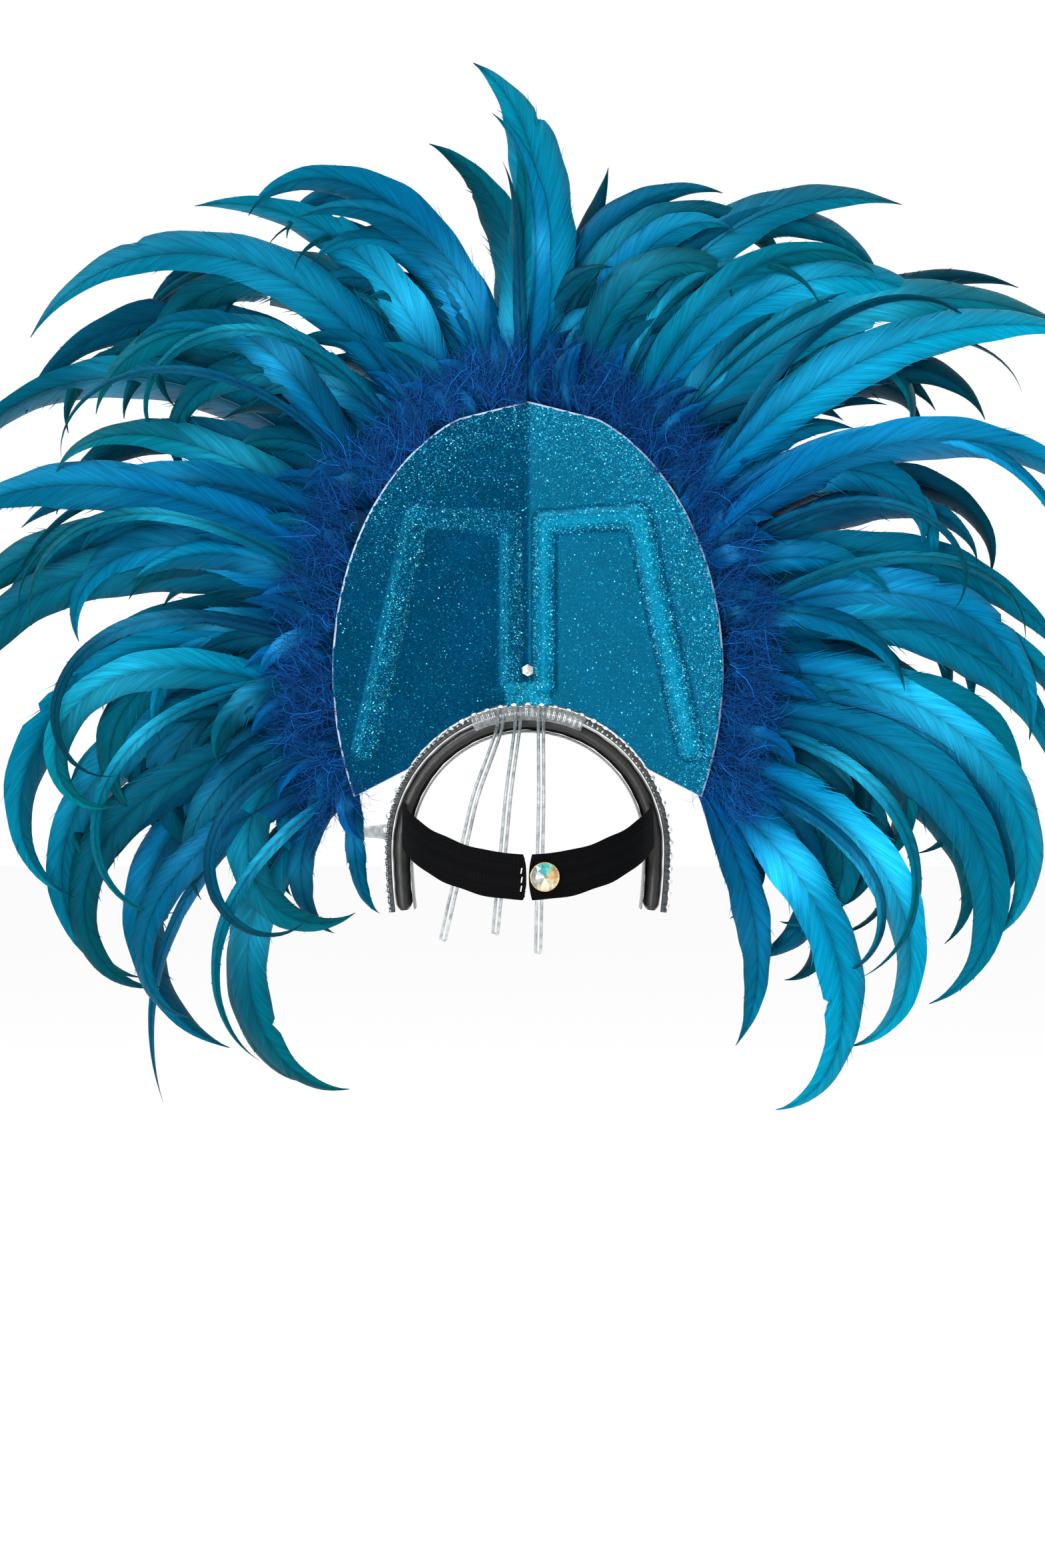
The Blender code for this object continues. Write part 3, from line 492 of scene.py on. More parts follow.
def rivoli_foil():
    """Rivoli crystal: clear glass over a foil whose colour turns round the stone."""
    material, tree, shader = start_material("rivoli_foil", "#B8B0A0", 0.08, 0.5,
                                            Coat_Weight=1.0, Coat_Roughness=0.03)
    foil = add_node(tree, "VertexColor", layer_name="surface_colors")
    shade = remap(tree, noise(tree, object_place(tree), 700.0), 0.3, 0.7, 0.8, 1.2)
    connect(tree, scaled(tree, foil, shade), shader, "Base Color")
    return material


def knitted_elastic():
    """Black knitted elastic: ribs along its length, crossed by rows of small loops."""
    material, tree, shader = start_material("knitted_elastic", "#040506", 0.85,
                                            Specular_IOR_Level=0.08)
    # The map runs 0 to 1 along a strap half and 0 to 1 round it: loops 1.1 mm, ribs 1.3 mm
    place = add_node(tree, "Mapping", {"Vector": add_node(tree, "UVMap", uv_map="UVMap")},
                     {"Scale": (115.0, 49.0, 1.0)})
    knit = combine(tree, "MULTIPLY", bands(tree, place, "Y", 0.159, 0.3),
                   bands(tree, place, "X", 0.159, 0.8))
    connect(tree, ramp(tree, knit, [(0.0, "#000000"), (0.8, "#030408")]), shader, "Base Color")
    raise_bumps(tree, shader, knit, 0.5, 0.0003)
    return material


def deselect_all():
    """Leave nothing selected, in object mode."""
    if bpy.context.object and bpy.context.object.mode != "OBJECT":
        bpy.ops.object.mode_set(mode="OBJECT")
    bpy.ops.object.select_all(action="DESELECT")


def add_primitive(operator, **settings):
    """Add a mesh with an operator, apply its placing and return the object."""
    deselect_all()
    operator(**settings)
    bpy.ops.object.transform_apply(location=True, rotation=True, scale=True)
    return bpy.context.object


def add_grid(along, around):
    """A flat grid primitive, its corners at 0 and 1 both ways."""
    return add_primitive(bpy.ops.mesh.primitive_grid_add, x_subdivisions=along,
                         y_subdivisions=around, size=1, location=(0.5, 0.5, 0))


def apply_modifier(piece, kind, **settings):
    """Give a piece a modifier and apply it."""
    bpy.context.view_layer.objects.active = piece
    item = piece.modifiers.new("change", kind)
    for key, value in settings.items():
        setattr(item, key, value)
    bpy.ops.object.modifier_apply(modifier="change")


def join_to(piece, other):
    """Join another mesh to a piece."""
    deselect_all()
    other.select_set(True)
    piece.select_set(True)
    bpy.context.view_layer.objects.active = piece
    bpy.ops.object.join()


def link_object(name, data):
    """A new object of the given data, in the scene."""
    item = bpy.data.objects.new(name, data)
    bpy.context.scene.collection.objects.link(item)
    return item


def from_bmesh(name, bm):
    """A new object of a bmesh, which is freed."""
    mesh = bpy.data.meshes.new(name)
    bm.to_mesh(mesh)
    bm.free()
    return link_object(name, mesh)


def take_apart(piece):
    """The points and faces of a piece, which is removed."""
    points = np.array([v.co for v in piece.data.vertices])
    faces = [list(p.vertices) for p in piece.data.polygons]
    bpy.data.objects.remove(piece)
    return points, faces


def finish_piece(piece, name, material, slot=None, node=None, sharp=40):
    """Name a piece, give it its finish and shading, and hide the solid that it replaces."""
    piece.name = name
    piece.data.name = name
    piece.data.materials.append(material)
    piece.data.shade_smooth()
    piece.data.set_sharp_from_angle(angle=math.radians(sharp))
    if node:
        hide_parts(node)
    return piece


def wrap_tube(name, along, around, place, material, slot, node):
    """Wrap a grid round a path: place(share along, share around) gives each point. Ends close."""
    piece = add_grid(along, around)
    for vertex in piece.data.vertices:
        vertex.co = place(vertex.co.x, vertex.co.y % 1.0)
    bpy.ops.object.mode_set(mode="EDIT")
    bpy.ops.mesh.select_all(action="SELECT")
    bpy.ops.mesh.remove_doubles(threshold=0.000002)
    bpy.ops.mesh.select_all(action="DESELECT")
    bpy.ops.mesh.select_mode(type="EDGE")
    bpy.ops.mesh.select_non_manifold(extend=False, use_wire=False, use_multi_face=False,
                                     use_non_contiguous=False, use_verts=False)
    bpy.ops.mesh.fill_holes(sides=0)
    bpy.ops.mesh.select_all(action="SELECT")
    bpy.ops.mesh.normals_make_consistent(inside=False)
    bpy.ops.object.mode_set(mode="OBJECT")
    return finish_piece(piece, name, material, slot, node)


def band_place(share):
    """Middle line of the band: a point and its outward direction, share -1 to 1 end to end."""
    arc = BAND_MIDDLE * math.pi / 2
    along = abs(share) * (arc + BAND_END_DROP)
    side = 1 if share >= 0 else -1
    if along <= arc:
        angle = along / BAND_MIDDLE
        outward = Vector((side * math.sin(angle), 0, math.cos(angle)))
        return Vector((0, 0, BAND_CENTER_Z)) + outward * BAND_MIDDLE, outward
    drop = (along - arc) / BAND_END_DROP
    x = BAND_MIDDLE - BAND_END_INWARD * drop ** 2
    lean = math.atan2(2 * BAND_END_INWARD * drop, BAND_END_DROP)
    outward = Vector((side * math.cos(lean), 0, -math.sin(lean)))
    return Vector((side * x, 0, BAND_CENTER_Z - drop * BAND_END_DROP)), outward


def superellipse(turn, power):
    """Point of a rounded box outline of half size 1, for a share of a full turn."""
    angle = 2 * math.pi * turn
    across, deep = math.cos(angle), math.sin(angle)
    return (math.copysign(abs(across) ** power, across), math.copysign(abs(deep) ** power, deep))


def model_headband(material):
    """Padded band: plump between its edges, with gathered ends and faint cross creases."""
    def place(share, turn):
        along = 2 * share - 1
        center, outward = band_place(along * 0.997)
        across, deep = superellipse(turn, 0.62)
        end = min(1.0, (1 - abs(along)) * 26 + 0.55)
        crease = BAND_CREASE * math.sin(along * 61 + 2 * deep) * math.sin(along * 23 + 1)
        thick = BAND_THICKNESS / 2 * (0.97 + 0.03 * math.cos(along * 9)) * end + crease
        depth = BAND_DEPTH / 2 * (0.99 - 0.02 * (1 - end))
        return center + outward * across * thick + Vector((0, deep * depth, 0))
    piece = wrap_tube("padded_headband", 180, 32, place, material, "padded_vinyl", "headband")
    return piece


def model_lining(material):
    """Lining cloth: a thin strip inside the band, its lower edge showing as a grey rim."""
    middle = HEAD_RADIUS + LINING_THICKNESS / 2 - BAND_MIDDLE

    def place(share, turn):
        center, outward = band_place((2 * share - 1) * 0.998)
        across, deep = superellipse(turn, 0.35)
        return (center + outward * (middle + across * LINING_THICKNESS / 2 * 0.96)
                + Vector((0, deep * LINING_HALF_DEPTH, 0)))
    return wrap_tube("lining_strip", 120, 20, place, material, "lining_cloth", "band_lining")


def panel_y(x):
    """Depth of the panel's front face."""
    return PANEL_FOLD_Y - PANEL_SLOPE * abs(x)


def rim_point(degrees):
    """Point on the right rim: 0 at the top, 90 at the shoulder, 135 at the lower corner."""
    if degrees <= 90:
        angle = math.radians(degrees)
        return (PANEL_HALF_WIDTH * math.sin(angle),
                PANEL_SHOULDER_Z + (PANEL_TOP_Z - PANEL_SHOULDER_Z) * math.cos(angle))
    share = (degrees - 90) / 45
    return (PANEL_HALF_WIDTH - PANEL_CORNER_INSET * share ** 2,
            PANEL_SHOULDER_Z + (PANEL_CORNER_Z - PANEL_SHOULDER_Z) * share)


def channel_rise(x, z):
    """Share of its full rise that a wire channel has at a point of the board."""
    rise = 0.0
    for (ax, az), (bx, bz), half in CHANNELS:
        length = math.hypot(bx - ax, bz - az)
        dx, dz = (bx - ax) / length, (bz - az) / length
        along = clamp((x - ax) * dx + (z - az) * dz, 0, length)
        away = math.hypot(x - ax - dx * along, z - az - dz * along)
        share = clamp((half + CHANNEL_FLANK - away) / CHANNEL_BLEND)
        rise = max(rise, share * share * (3 - 2 * share))
    return rise


def strap_place(angle):
    """Middle line of the strap: a point and its outward direction, 0 at the band, 90 at back."""
    end_x = BAND_MIDDLE - STRAP_THICKNESS
    x = end_x * math.cos(angle)
    y = BAND_REAR_Y - CLEARANCE - STRAP_REACH * math.sin(angle)
    z = STRAP_END_Z + (STRAP_BACK_Z - STRAP_END_Z) * max(math.sin(angle), 0) ** 1.5
    outward = Vector((math.cos(angle) / end_x, -math.sin(angle) / STRAP_REACH, 0)).normalized()
    return Vector((x, y, z)), outward


def model_strap(name, side, material):
    """Half of the elastic strap: rolled edges, a thicker folded hem at its cut end."""
    stop = math.pi / 2 - STRAP_GAP / 2 / BAND_MIDDLE
    rng = np.random.default_rng(side + 5)
    ragged = rng.uniform(0, CUT_FRAY, 40)

    def place(share, turn):
        across, deep = superellipse(turn, 0.42)
        cut = CUT_BOW * abs(deep) ** 2 + (ragged[int((deep + 1) * 19)] if side < 0 else 0)
        center, outward = strap_place(stop * share - cut * clamp((share - 0.96) / 0.04))
        hem = STRAP_HEM if share > 0.90 else 0.0
        edge = STRAP_EDGE * math.cos(deep * 11.5 * 2 * math.pi)
        thick = STRAP_THICKNESS / 2 * 0.82 + hem + edge * abs(across)
        wave = STRAP_WAVE * math.sin(share * 23 + deep)
        point = center + outward * (across * thick)
        height = STRAP_HEIGHT / 2 * (0.985 - 0.010 * math.sin(share * 31))
        return Vector((side * point.x, point.y, point.z + deep * height + wave))
    piece = wrap_tube("elastic_" + name[6:], 120, 96, place, material, "strap_elastic", name)
    if side < 0:
        flip_outward(piece)
    return piece


def flip_outward(piece):
    """Point a closed piece's faces outward again."""
    bm = bmesh.new()
    bm.from_mesh(piece.data)
    bmesh.ops.recalc_face_normals(bm, faces=bm.faces)
    bm.to_mesh(piece.data)
    bm.free()


def tube_along(name, points, width, material, slot=None, node=None):
    """Round bar along points, made from a curve with its ends capped."""
    curve = bpy.data.curves.new(name, "CURVE")
    curve.dimensions = "3D"
    curve.bevel_depth = width / 2
    curve.bevel_resolution = 4
    curve.use_fill_caps = True
    spline = curve.splines.new("POLY")
    spline.points.add(len(points) - 1)
    for item, point in zip(spline.points, points):
        item.co = (*point, 1)
    deselect_all()
    guide = link_object(name, curve)
    bpy.context.view_layer.objects.active = guide
    guide.select_set(True)
    bpy.ops.object.convert(target="MESH")
    piece = bpy.context.object
    bpy.ops.object.mode_set(mode="EDIT")
    bpy.ops.mesh.select_all(action="SELECT")
    bpy.ops.mesh.remove_doubles(threshold=0.000005)
    bpy.ops.mesh.normals_make_consistent(inside=False)
    bpy.ops.object.mode_set(mode="OBJECT")
    return finish_piece(piece, name, material, slot, node)


def smooth_through(points, steps):
    """Points of a smooth curve through a few chosen ones, spaced evenly between them."""
    result = []
    last = len(points) - 1
    for step in range(steps + 1):
        place = step / steps * last
        index = min(int(place), last - 1)
        t = place - index
        before, start = points[max(index - 1, 0)], points[index]
        end, after = points[index + 1], points[min(index + 2, last)]
        result.append(0.5 * (2 * start + (end - before) * t
                             + (2 * before - 5 * start + 4 * end - after) * t ** 2
                             + (3 * start - before - 3 * end + after) * t ** 3))
    return result


def model_prong(row, material):
    """Clear hairpin tooth: two round legs that run into a rounded tip."""
    name, top_x, waist_x, tip_x, drop = row
    outer_x = abs(top_x) + HAIRPIN_WIDTH / 2
    top_z = (BAND_CENTER_Z + math.sqrt(BRACKET_RADIUS ** 2 - outer_x ** 2)
             - CLEARANCE - WIRE_WIDTH / 2)
    behind = BAND_REAR_Y - CLEARANCE - BRACKET_THICKNESS - WIRE_WIDTH / 2
    line = [Vector((top_x, behind, top_z + rise)) for rise in PRONG_STARTS]
    for depth_share, height_share in PRONG_SIDE[1:]:
        early = min(height_share / PRONG_WAIST_SHARE, 1)
        late = max((height_share - PRONG_WAIST_SHARE) / (1 - PRONG_WAIST_SHARE), 0)
        x = top_x + (waist_x - top_x) * early + (tip_x - waist_x) * late
        round_share = math.sqrt(1 - (x / BAND_MIDDLE) ** 2)
        line.append(Vector((x, BAND_REAR_Y - STRAP_REACH * depth_share * round_share,
                            top_z - drop * height_share)))
    middle = smooth_through(line, 48)
    half = (HAIRPIN_WIDTH - WIRE_WIDTH) / 2
    legs = {-1: [], 1: []}
    for point, after in zip(middle, middle[1:]):
        forward = (after - point).normalized()
        steep = clamp((abs(forward.z) - 0.15) / 0.3)
        across = forward.cross(Vector((0, 1, 0)))
        across = (across.normalized() * steep + Vector((-1, 0, 0)) * (1 - steep)).normalized()
        for side in legs:
            legs[side].append(point + across * side * half)
    down = (middle[-1] - middle[-2]).normalized()
    across = down.cross(Vector((0, 1, 0))).normalized()
    turns = [math.pi * step / 12 for step in range(13)]
    tip = [middle[-1] - down * half + across * half * math.cos(turn) + down * half * math.sin(turn)
           for turn in turns]
    points = legs[1][:-1] + tip + legs[-1][-2::-1]
    return tube_along("clear_" + name, points, WIRE_WIDTH, material, "clear_plastic", name)


def toothed(length, pitch):
    """Height share of even teeth at a length along a bar."""
    return 0.5 + 0.5 * math.cos(length / pitch * 2 * math.pi)


def model_bracket(material):
    """Clear comb bar along the band's back edge, with a row of small upright teeth."""
    middle_y = BAND_REAR_Y - CLEARANCE - BRACKET_THICKNESS / 2

    def place(share, turn):
        across, deep = superellipse(turn, 0.45)
        angle = BRACKET_HALF_ANGLE * (2 * share - 1)
        outward = Vector((math.sin(angle), 0, math.cos(angle)))
        valley = 1 - toothed(angle * BRACKET_RADIUS, BRACKET_TOOTH_PITCH)
        height = BRACKET_HEIGHT / 2 * (0.97 - 0.10 * valley * max(across, 0))
        thick = BRACKET_THICKNESS / 2 * (0.96 - 0.16 * valley * abs(deep))
        return (Vector((0, middle_y + deep * thick, BAND_CENTER_Z))
                + outward * (BRACKET_RADIUS + BRACKET_HEIGHT / 2 + across * height))
    return wrap_tube("comb_bar", 200, 24, place, material, "clear_plastic", "prong_bracket")


def model_trim(plastic, glass, metal):
    """Clear ribbed strip, and on it a row of small claw cups with cut stones."""
    inner = BAND_OUTER + CLEARANCE - BAND_MIDDLE
    length = BAND_MIDDLE * math.pi + 2 * BAND_END_DROP

    def place(share, turn):
        across, deep = superellipse(turn, 0.5)
        center, outward = band_place(2 * share - 1)
        valley = 1 - toothed(share * length, TRIM_RIB_PITCH)
        thick = TRIM_HEIGHT / 2 * (0.97 - 0.16 * valley * max(across, 0))
        depth = TRIM_DEPTH / 2 * (0.97 - 0.10 * valley)
        return (center + outward * (inner + TRIM_HEIGHT / 2 + across * thick)
                + Vector((0, TRIM_Y + deep * depth, 0)))
    slot, node = "clear_stones", "crystal_trim"
    strip = wrap_tube("stone_strip", 520, 12, place, plastic, slot, node)
    per_side = int(((BAND_OUTER + CLEARANCE + TRIM_HEIGHT) * math.pi / 2 + BAND_END_DROP
                    - STONE_WIDTH) / STONE_PITCH)
    stone = add_primitive(bpy.ops.mesh.primitive_cone_add, vertices=10, radius1=1, radius2=0.56,
                          depth=0.75, location=(0, 0, 0.38))
    cup = add_primitive(bpy.ops.mesh.primitive_cylinder_add, vertices=12, radius=0.97, depth=0.42,
                        location=(0, 0, -0.02))
    places = []
    for index in range(-per_side, per_side + 1):
        center, outward = band_place(index / (per_side + 0.5))
        facing = outward * math.cos(STONE_TILT) - Vector((0, math.sin(STONE_TILT), 0))
        seat = center + outward * (inner + TRIM_HEIGHT - STONE_SINK) + Vector((0, TRIM_Y, 0))
        turn = facing.to_track_quat("Z", "Y").to_matrix().to_4x4()
        places.append(Matrix.Translation(seat) @ turn @ Matrix.Rotation(index * 2.4, 4, "Z")
                      @ Matrix.Scale(STONE_WIDTH / 2, 4))
    return [strip, copies("trim_stones", stone, places, glass, slot, node, 10),
            copies("stone_cups", cup, places, metal, slot, node, 30)]


def copies(name, template, places, *finish):
    """One joined mesh of a template at many places; the template is removed."""
    bm = bmesh.new()
    for matrix in places:
        mesh = template.data.copy()
        mesh.transform(matrix)
        bm.from_mesh(mesh)
        bpy.data.meshes.remove(mesh)
    bpy.data.objects.remove(template)
    return finish_piece(from_bmesh(name, bm), name, *finish)


def foil_color(turn):
    """Foil colour at a share of a turn, as linear red, green and blue."""
    for (low, first), (high, second) in zip(FOIL_TURN, FOIL_TURN[1:]):
        if turn <= high:
            mix = (turn - low) / (high - low)
            return [a + (b - a) * mix for a, b in zip(linear(first)[:3], linear(second)[:3])]
    return linear(FOIL_TURN[0][1])[:3]


def model_button(glass, metal):
    """Rivoli crystal: long facets that meet near the middle, in a thin gilt cup."""
    center, outward = strap_place(math.acos(BUTTON_X / BAND_MIDDLE))
    seat = center + outward * (STRAP_THICKNESS / 2 + CLEARANCE + BUTTON_BOW)
    place = Matrix.Translation(seat) @ outward.to_track_quat("Z", "Y").to_matrix().to_4x4()
    bm = bmesh.new()
    made = []
    for share, height, shift in BUTTON_RINGS:
        turns = [2 * math.pi * (i + shift) / BUTTON_SIDES for i in range(BUTTON_SIDES)]
        made.append([bm.verts.new((BUTTON_RADIUS * share * math.cos(turn),
                                   BUTTON_RADIUS * share * math.sin(turn), height))
                     for turn in turns])
    bm.faces.new(list(reversed(made[0])))
    bm.faces.new(made[-1])
    for ring, following in zip(made, made[1:]):
        for i in range(BUTTON_SIDES):
            after = (i + 1) % BUTTON_SIDES
            bm.faces.new((ring[i], ring[after], following[i]))
            bm.faces.new((ring[after], following[after], following[i]))
    bmesh.ops.recalc_face_normals(bm, faces=bm.faces)
    stone = from_bmesh("rivoli_stone", bm)
    foil = stone.data.attributes.new("surface_colors", "FLOAT_COLOR", "CORNER")
    rng = np.random.default_rng(7)
    for face in stone.data.polygons:
        turn = (math.atan2(face.center.y, face.center.x) / (2 * math.pi)) % 1.0
        light = rng.uniform(0.55, 1.25)
        for loop in face.loop_indices:
            foil.data[loop].color = [min(c * light, 1) for c in foil_color(turn)] + [1.0]
    cup = add_primitive(bpy.ops.mesh.primitive_cylinder_add, vertices=56, radius=BUTTON_RADIUS,
                        depth=CUP_DEPTH, location=(0, 0, CUP_DEPTH / 2))
    apply_modifier(cup, "BEVEL", width=CUP_BEVEL, segments=3)
    lip = add_primitive(bpy.ops.mesh.primitive_torus_add, major_radius=BUTTON_RADIUS * 0.955,
                        minor_radius=CUP_LIP, major_segments=56, minor_segments=8,
                        location=(0, 0, CUP_DEPTH))
    join_to(cup, lip)
    slot, node = "button_crystal", "strap_button"
    for piece in (stone, cup):
        piece.data.transform(place)
    return [finish_piece(stone, "rivoli_stone", glass, slot, node, 2),
            finish_piece(cup, "button_cup", metal, slot, node)]


def model_nut(metal):
    """Chamfered hexagon nut with a rounded ring on it, and the rounded end of its bolt."""
    seat = panel_y(NUT_RADIUS) - PANEL_THICKNESS - CLEARANCE
    nut = add_primitive(bpy.ops.mesh.primitive_cylinder_add, vertices=6, radius=NUT_RADIUS,
                        depth=NUT_HEIGHT, location=(0, 0, NUT_MIDDLE))
    apply_modifier(nut, "BEVEL", width=NUT_BEVEL, segments=3)
    ring = add_primitive(bpy.ops.mesh.primitive_torus_add, major_radius=NUT_RING_RADIUS,
                         minor_radius=NUT_RING_WIDTH, major_segments=32, minor_segments=8,
                         location=(0, 0, NUT_RING_HEIGHT))
    join_to(nut, ring)
    bolt = add_primitive(bpy.ops.mesh.primitive_uv_sphere_add, segments=24, ring_count=12,
                         radius=BOLT_RADIUS, location=(0, 0, BOLT_HEIGHT), scale=(1, 1, 0.22))
    place = Matrix.Translation((0, seat, NUT_Z)) @ Matrix.Rotation(math.radians(90), 4, "X")
    for piece, name in ((nut, "fold_nut"), (bolt, "bolt_end")):
        piece.data.transform(place)
        finish_piece(piece, name, metal, "plated_steel", "panel_nut")
    return [nut, bolt]


def model_stay(material):
    """Clear arm from the band's side to the feathers, tapered, with rounded edges."""
    start = -(BAND_OUTER + CLEARANCE)

    def place(share, turn):
        across, deep = superellipse(turn, 0.4)
        half = STAY_ROOT_HALF + (STAY_TIP_HALF - STAY_ROOT_HALF) * share
        return Vector((start - STAY_LENGTH * share, STAY_Y + deep * STAY_HALF_THICKNESS,
                       STAY_Z + across * half))
    piece = wrap_tube("clear_arm", 24, 24, place, material, "clear_plastic", "side_stay")
    flip_outward(piece)
    return piece


def model_stitches(material):
    """White stitches through the strap's left hem, each a short bowed thread."""
    made = []
    for index, (x, z) in enumerate(STITCHES):
        center, outward = strap_place(math.acos(-x / BAND_MIDDLE))
        points = []
        for step in range(9):
            share = step / 8 - 0.5
            rise = STRAP_THICKNESS / 2 + THREAD_LIFT - THREAD_BOW * share * share
            spot = center + outward * rise
            points.append((-spot.x + THREAD_LEAN * share, spot.y, z + share * STITCH_LENGTH))
        made.append(tube_along("stitch_%d" % index, points, THREAD_WIDTH, material))
    return made


def glitter_at(x, z):
    """Share of flakes that shine at a point of the board, and how far its film is drawn paler; the
    right half gets more of both as painted light, the lower left rim fewer flakes as painted shade.
    """
    rise = channel_rise(abs(x), z)
    flank = 4 * rise * (1 - rise)
    up = max(z - PANEL_SHOULDER_Z, 0) / (PANEL_TOP_Z - PANEL_SHOULDER_Z)
    rim = clamp((math.hypot(x / PANEL_HALF_WIDTH, up) - 0.55) / 0.45) ** 2
    if abs(x) < PANEL_FOOT_HALF_WIDTH and z < FOOT_TOP_Z:
        return 0.006, 0.65
    if x > 0:
        # Right half: more shining flakes and a paler film on the channels, painted light
        return 0.0005 + 0.0052 * flank + 0.0020 * rise + 0.0044 * rim, 0.36 * rise
    # Left half: its lower rim loses shining flakes, painted shade
    rim *= clamp((z - 0.09) / 0.08) if x < 0 else 1
    return 0.0004 + 0.0026 * flank + 0.0024 * rise + 0.0028 * rim, 0.03 * rise


def round_band(radius, angle):
    """Point x, z at a radius and angle round the band's centre."""
    return radius * math.sin(angle), BAND_CENTER_Z + radius * math.cos(angle)


def everything(bm):
    """All points, edges and faces of a bmesh."""
    return bm.verts[:] + bm.edges[:] + bm.faces[:]


def cut_net(bm):
    """Cut a flat face into a fine upright net."""
    for i in range(1, int(NET_HALF_WIDTH / NET_STEP)):
        bmesh.ops.bisect_plane(bm, geom=everything(bm), plane_co=(i * NET_STEP, 0, 0),
                               plane_no=(1, 0, 0))
    for i in range(int(NET_HEIGHT / NET_STEP)):
        bmesh.ops.bisect_plane(bm, geom=everything(bm), plane_no=(0, 0, 1),
                               plane_co=(0, 0, NET_LOW_Z + i * NET_STEP))
    bmesh.ops.triangulate(bm, faces=[f for f in bm.faces if len(f.verts) > 4])


def model_panel(glitter, edge):
    """Folded glitter board: exact outline, cut into a fine net so that the channels rise softly."""
    foot_radius = BAND_OUTER + CLEARANCE
    foot_angle = math.asin(PANEL_FOOT_HALF_WIDTH / foot_radius)
    start = math.asin(PANEL_FOOT_HALF_WIDTH / NOTCH_RADIUS)
    outline = [round_band(foot_radius, foot_angle * i / 3) for i in range(4)]
    outline += [round_band(NOTCH_RADIUS, start + (NOTCH_ARC_END - start) * i / 20)
                for i in range(21)]
    outline += [rim_point(135 - 3 * i) for i in range(15)]
    top = [rim_point(90 - 2 * i) for i in range(46)]
    outline += [(x, min(z, PANEL_TOP_Z - PEAK_SLOPE * x)) for x, z in top]
    bm = bmesh.new()
    bm.faces.new([bm.verts.new((x, 0, z)) for x, z in outline])
    cut_net(bm)
    for item in bmesh.ops.duplicate(bm, geom=everything(bm))["geom"]:
        if isinstance(item, bmesh.types.BMVert):
            item.co.x *= -1
    bmesh.ops.remove_doubles(bm, verts=bm.verts, dist=0.00001)
    bmesh.ops.recalc_face_normals(bm, faces=bm.faces)
    for face in bm.faces:
        if face.normal.y > 0:
            face.normal_flip()
    rims = [e for e in bm.edges if len(e.link_faces) == 1]
    made = bmesh.ops.duplicate(bm, geom=everything(bm))["geom"]
    fronts = {g for g in made if isinstance(g, bmesh.types.BMVert)}
    for item in made:
        if isinstance(item, bmesh.types.BMFace):
            item.normal_flip()
    known = set(rims)
    front_rims = [e for e in bm.edges if len(e.link_faces) == 1 and e not in known]
    walls = bmesh.ops.bridge_loops(bm, edges=rims + front_rims)["faces"]
    back_rim = {v for e in rims for v in e.verts}
    for vertex in bm.verts:
        x, z = vertex.co.x, vertex.co.z
        wave = BOARD_WAVE * math.sin(x * 40) * math.sin(z * 31 + 1.3) * min(abs(x) / 0.04, 1)
        if vertex in fronts:
            vertex.co.y = panel_y(x) - BOARD_FRONT_GAP + wave
        else:
            rise = channel_rise(abs(x), z) * CHANNEL_RISE
            vertex.co.y = panel_y(x) - PANEL_THICKNESS - rise + wave
        if vertex in back_rim:
            vertex.co += (RIM_MIDDLE - Vector((x, 0, z))).normalized() * RIM_BEVEL
    for face in walls:
        face.material_index = 1
    bmesh.ops.recalc_face_normals(bm, faces=bm.faces)
    piece = finish_piece(from_bmesh("folded_panel", bm), "folded_panel", glitter,
                         "glitter_board", "back_panel", 50)
    piece.data.materials.append(edge)
    sparkle = piece.data.attributes.new("sparkle", "FLOAT_COLOR", "POINT")
    for vertex, item in zip(piece.data.vertices, sparkle.data):
        item.color = (*glitter_at(vertex.co.x, vertex.co.z), 0.0, 1.0)
    return piece


def fan_depth(x, z, offset):
    """Depth of a feather layer at points x, z of the right side, as in the solids."""
    up = z - PANEL_SHOULDER_Z
    rise = np.where(up > 0, PANEL_TOP_Z - PANEL_SHOULDER_Z, PANEL_HALF_WIDTH)
    out = np.hypot(x / PANEL_HALF_WIDTH, up / rise)
    reach = np.where(out > 1, np.hypot(x, up) * (1 - 1 / np.maximum(out, 1e-6)), 0)
    share = reach / FAN_REACH
    spread = offset * (1 + FAN_SPREAD * share ** 2)
    return PANEL_FOLD_Y - PANEL_SLOPE * np.abs(x) + CLEARANCE + spread - FAN_SWEEP * share ** 2


def fade(share, start, length):
    """How far shares have gone from a start, over a length, from 0 to 1."""
    return np.clip((share - start) / length, 0, 1)


def feather_path(row, power, hook):
    """Middle line of a feather of the right side: shares, x, z and heading along it."""
    degrees, heading, curl, length_share, _ = row
    x, z = rim_point(degrees)
    start = math.radians(heading)
    x -= ROOT_INSET * math.sin(start)
    z -= ROOT_INSET * math.cos(start)
    length = FEATHER_LENGTH * length_share + ROOT_INSET

    def heading_at(share):
        return np.radians(heading + curl * share ** power + hook * share ** HOOK_POWER)
    angle = heading_at((np.arange(PATH_STEPS) + 0.5) / PATH_STEPS)
    xs = np.concatenate([[x], x + np.cumsum(np.sin(angle)) * length / PATH_STEPS])
    zs = np.concatenate([[z], z + np.cumsum(np.cos(angle)) * length / PATH_STEPS])
    at = np.linspace(0, 1, PATH_STEPS + 1)
    return at, xs, zs, heading_at(at), length


def vane_width(share):
    """Half the vane's width as a share: narrow downy foot, full middle, long tapered tip."""
    opening = fade(share, 0, 0.28)
    opening = 0.30 + 0.70 * opening * opening * (3 - 2 * opening)
    closing = (1 - fade(share, 0.42, 0.58) ** 1.8) ** 1.1
    return opening * np.maximum(closing, 0.015)


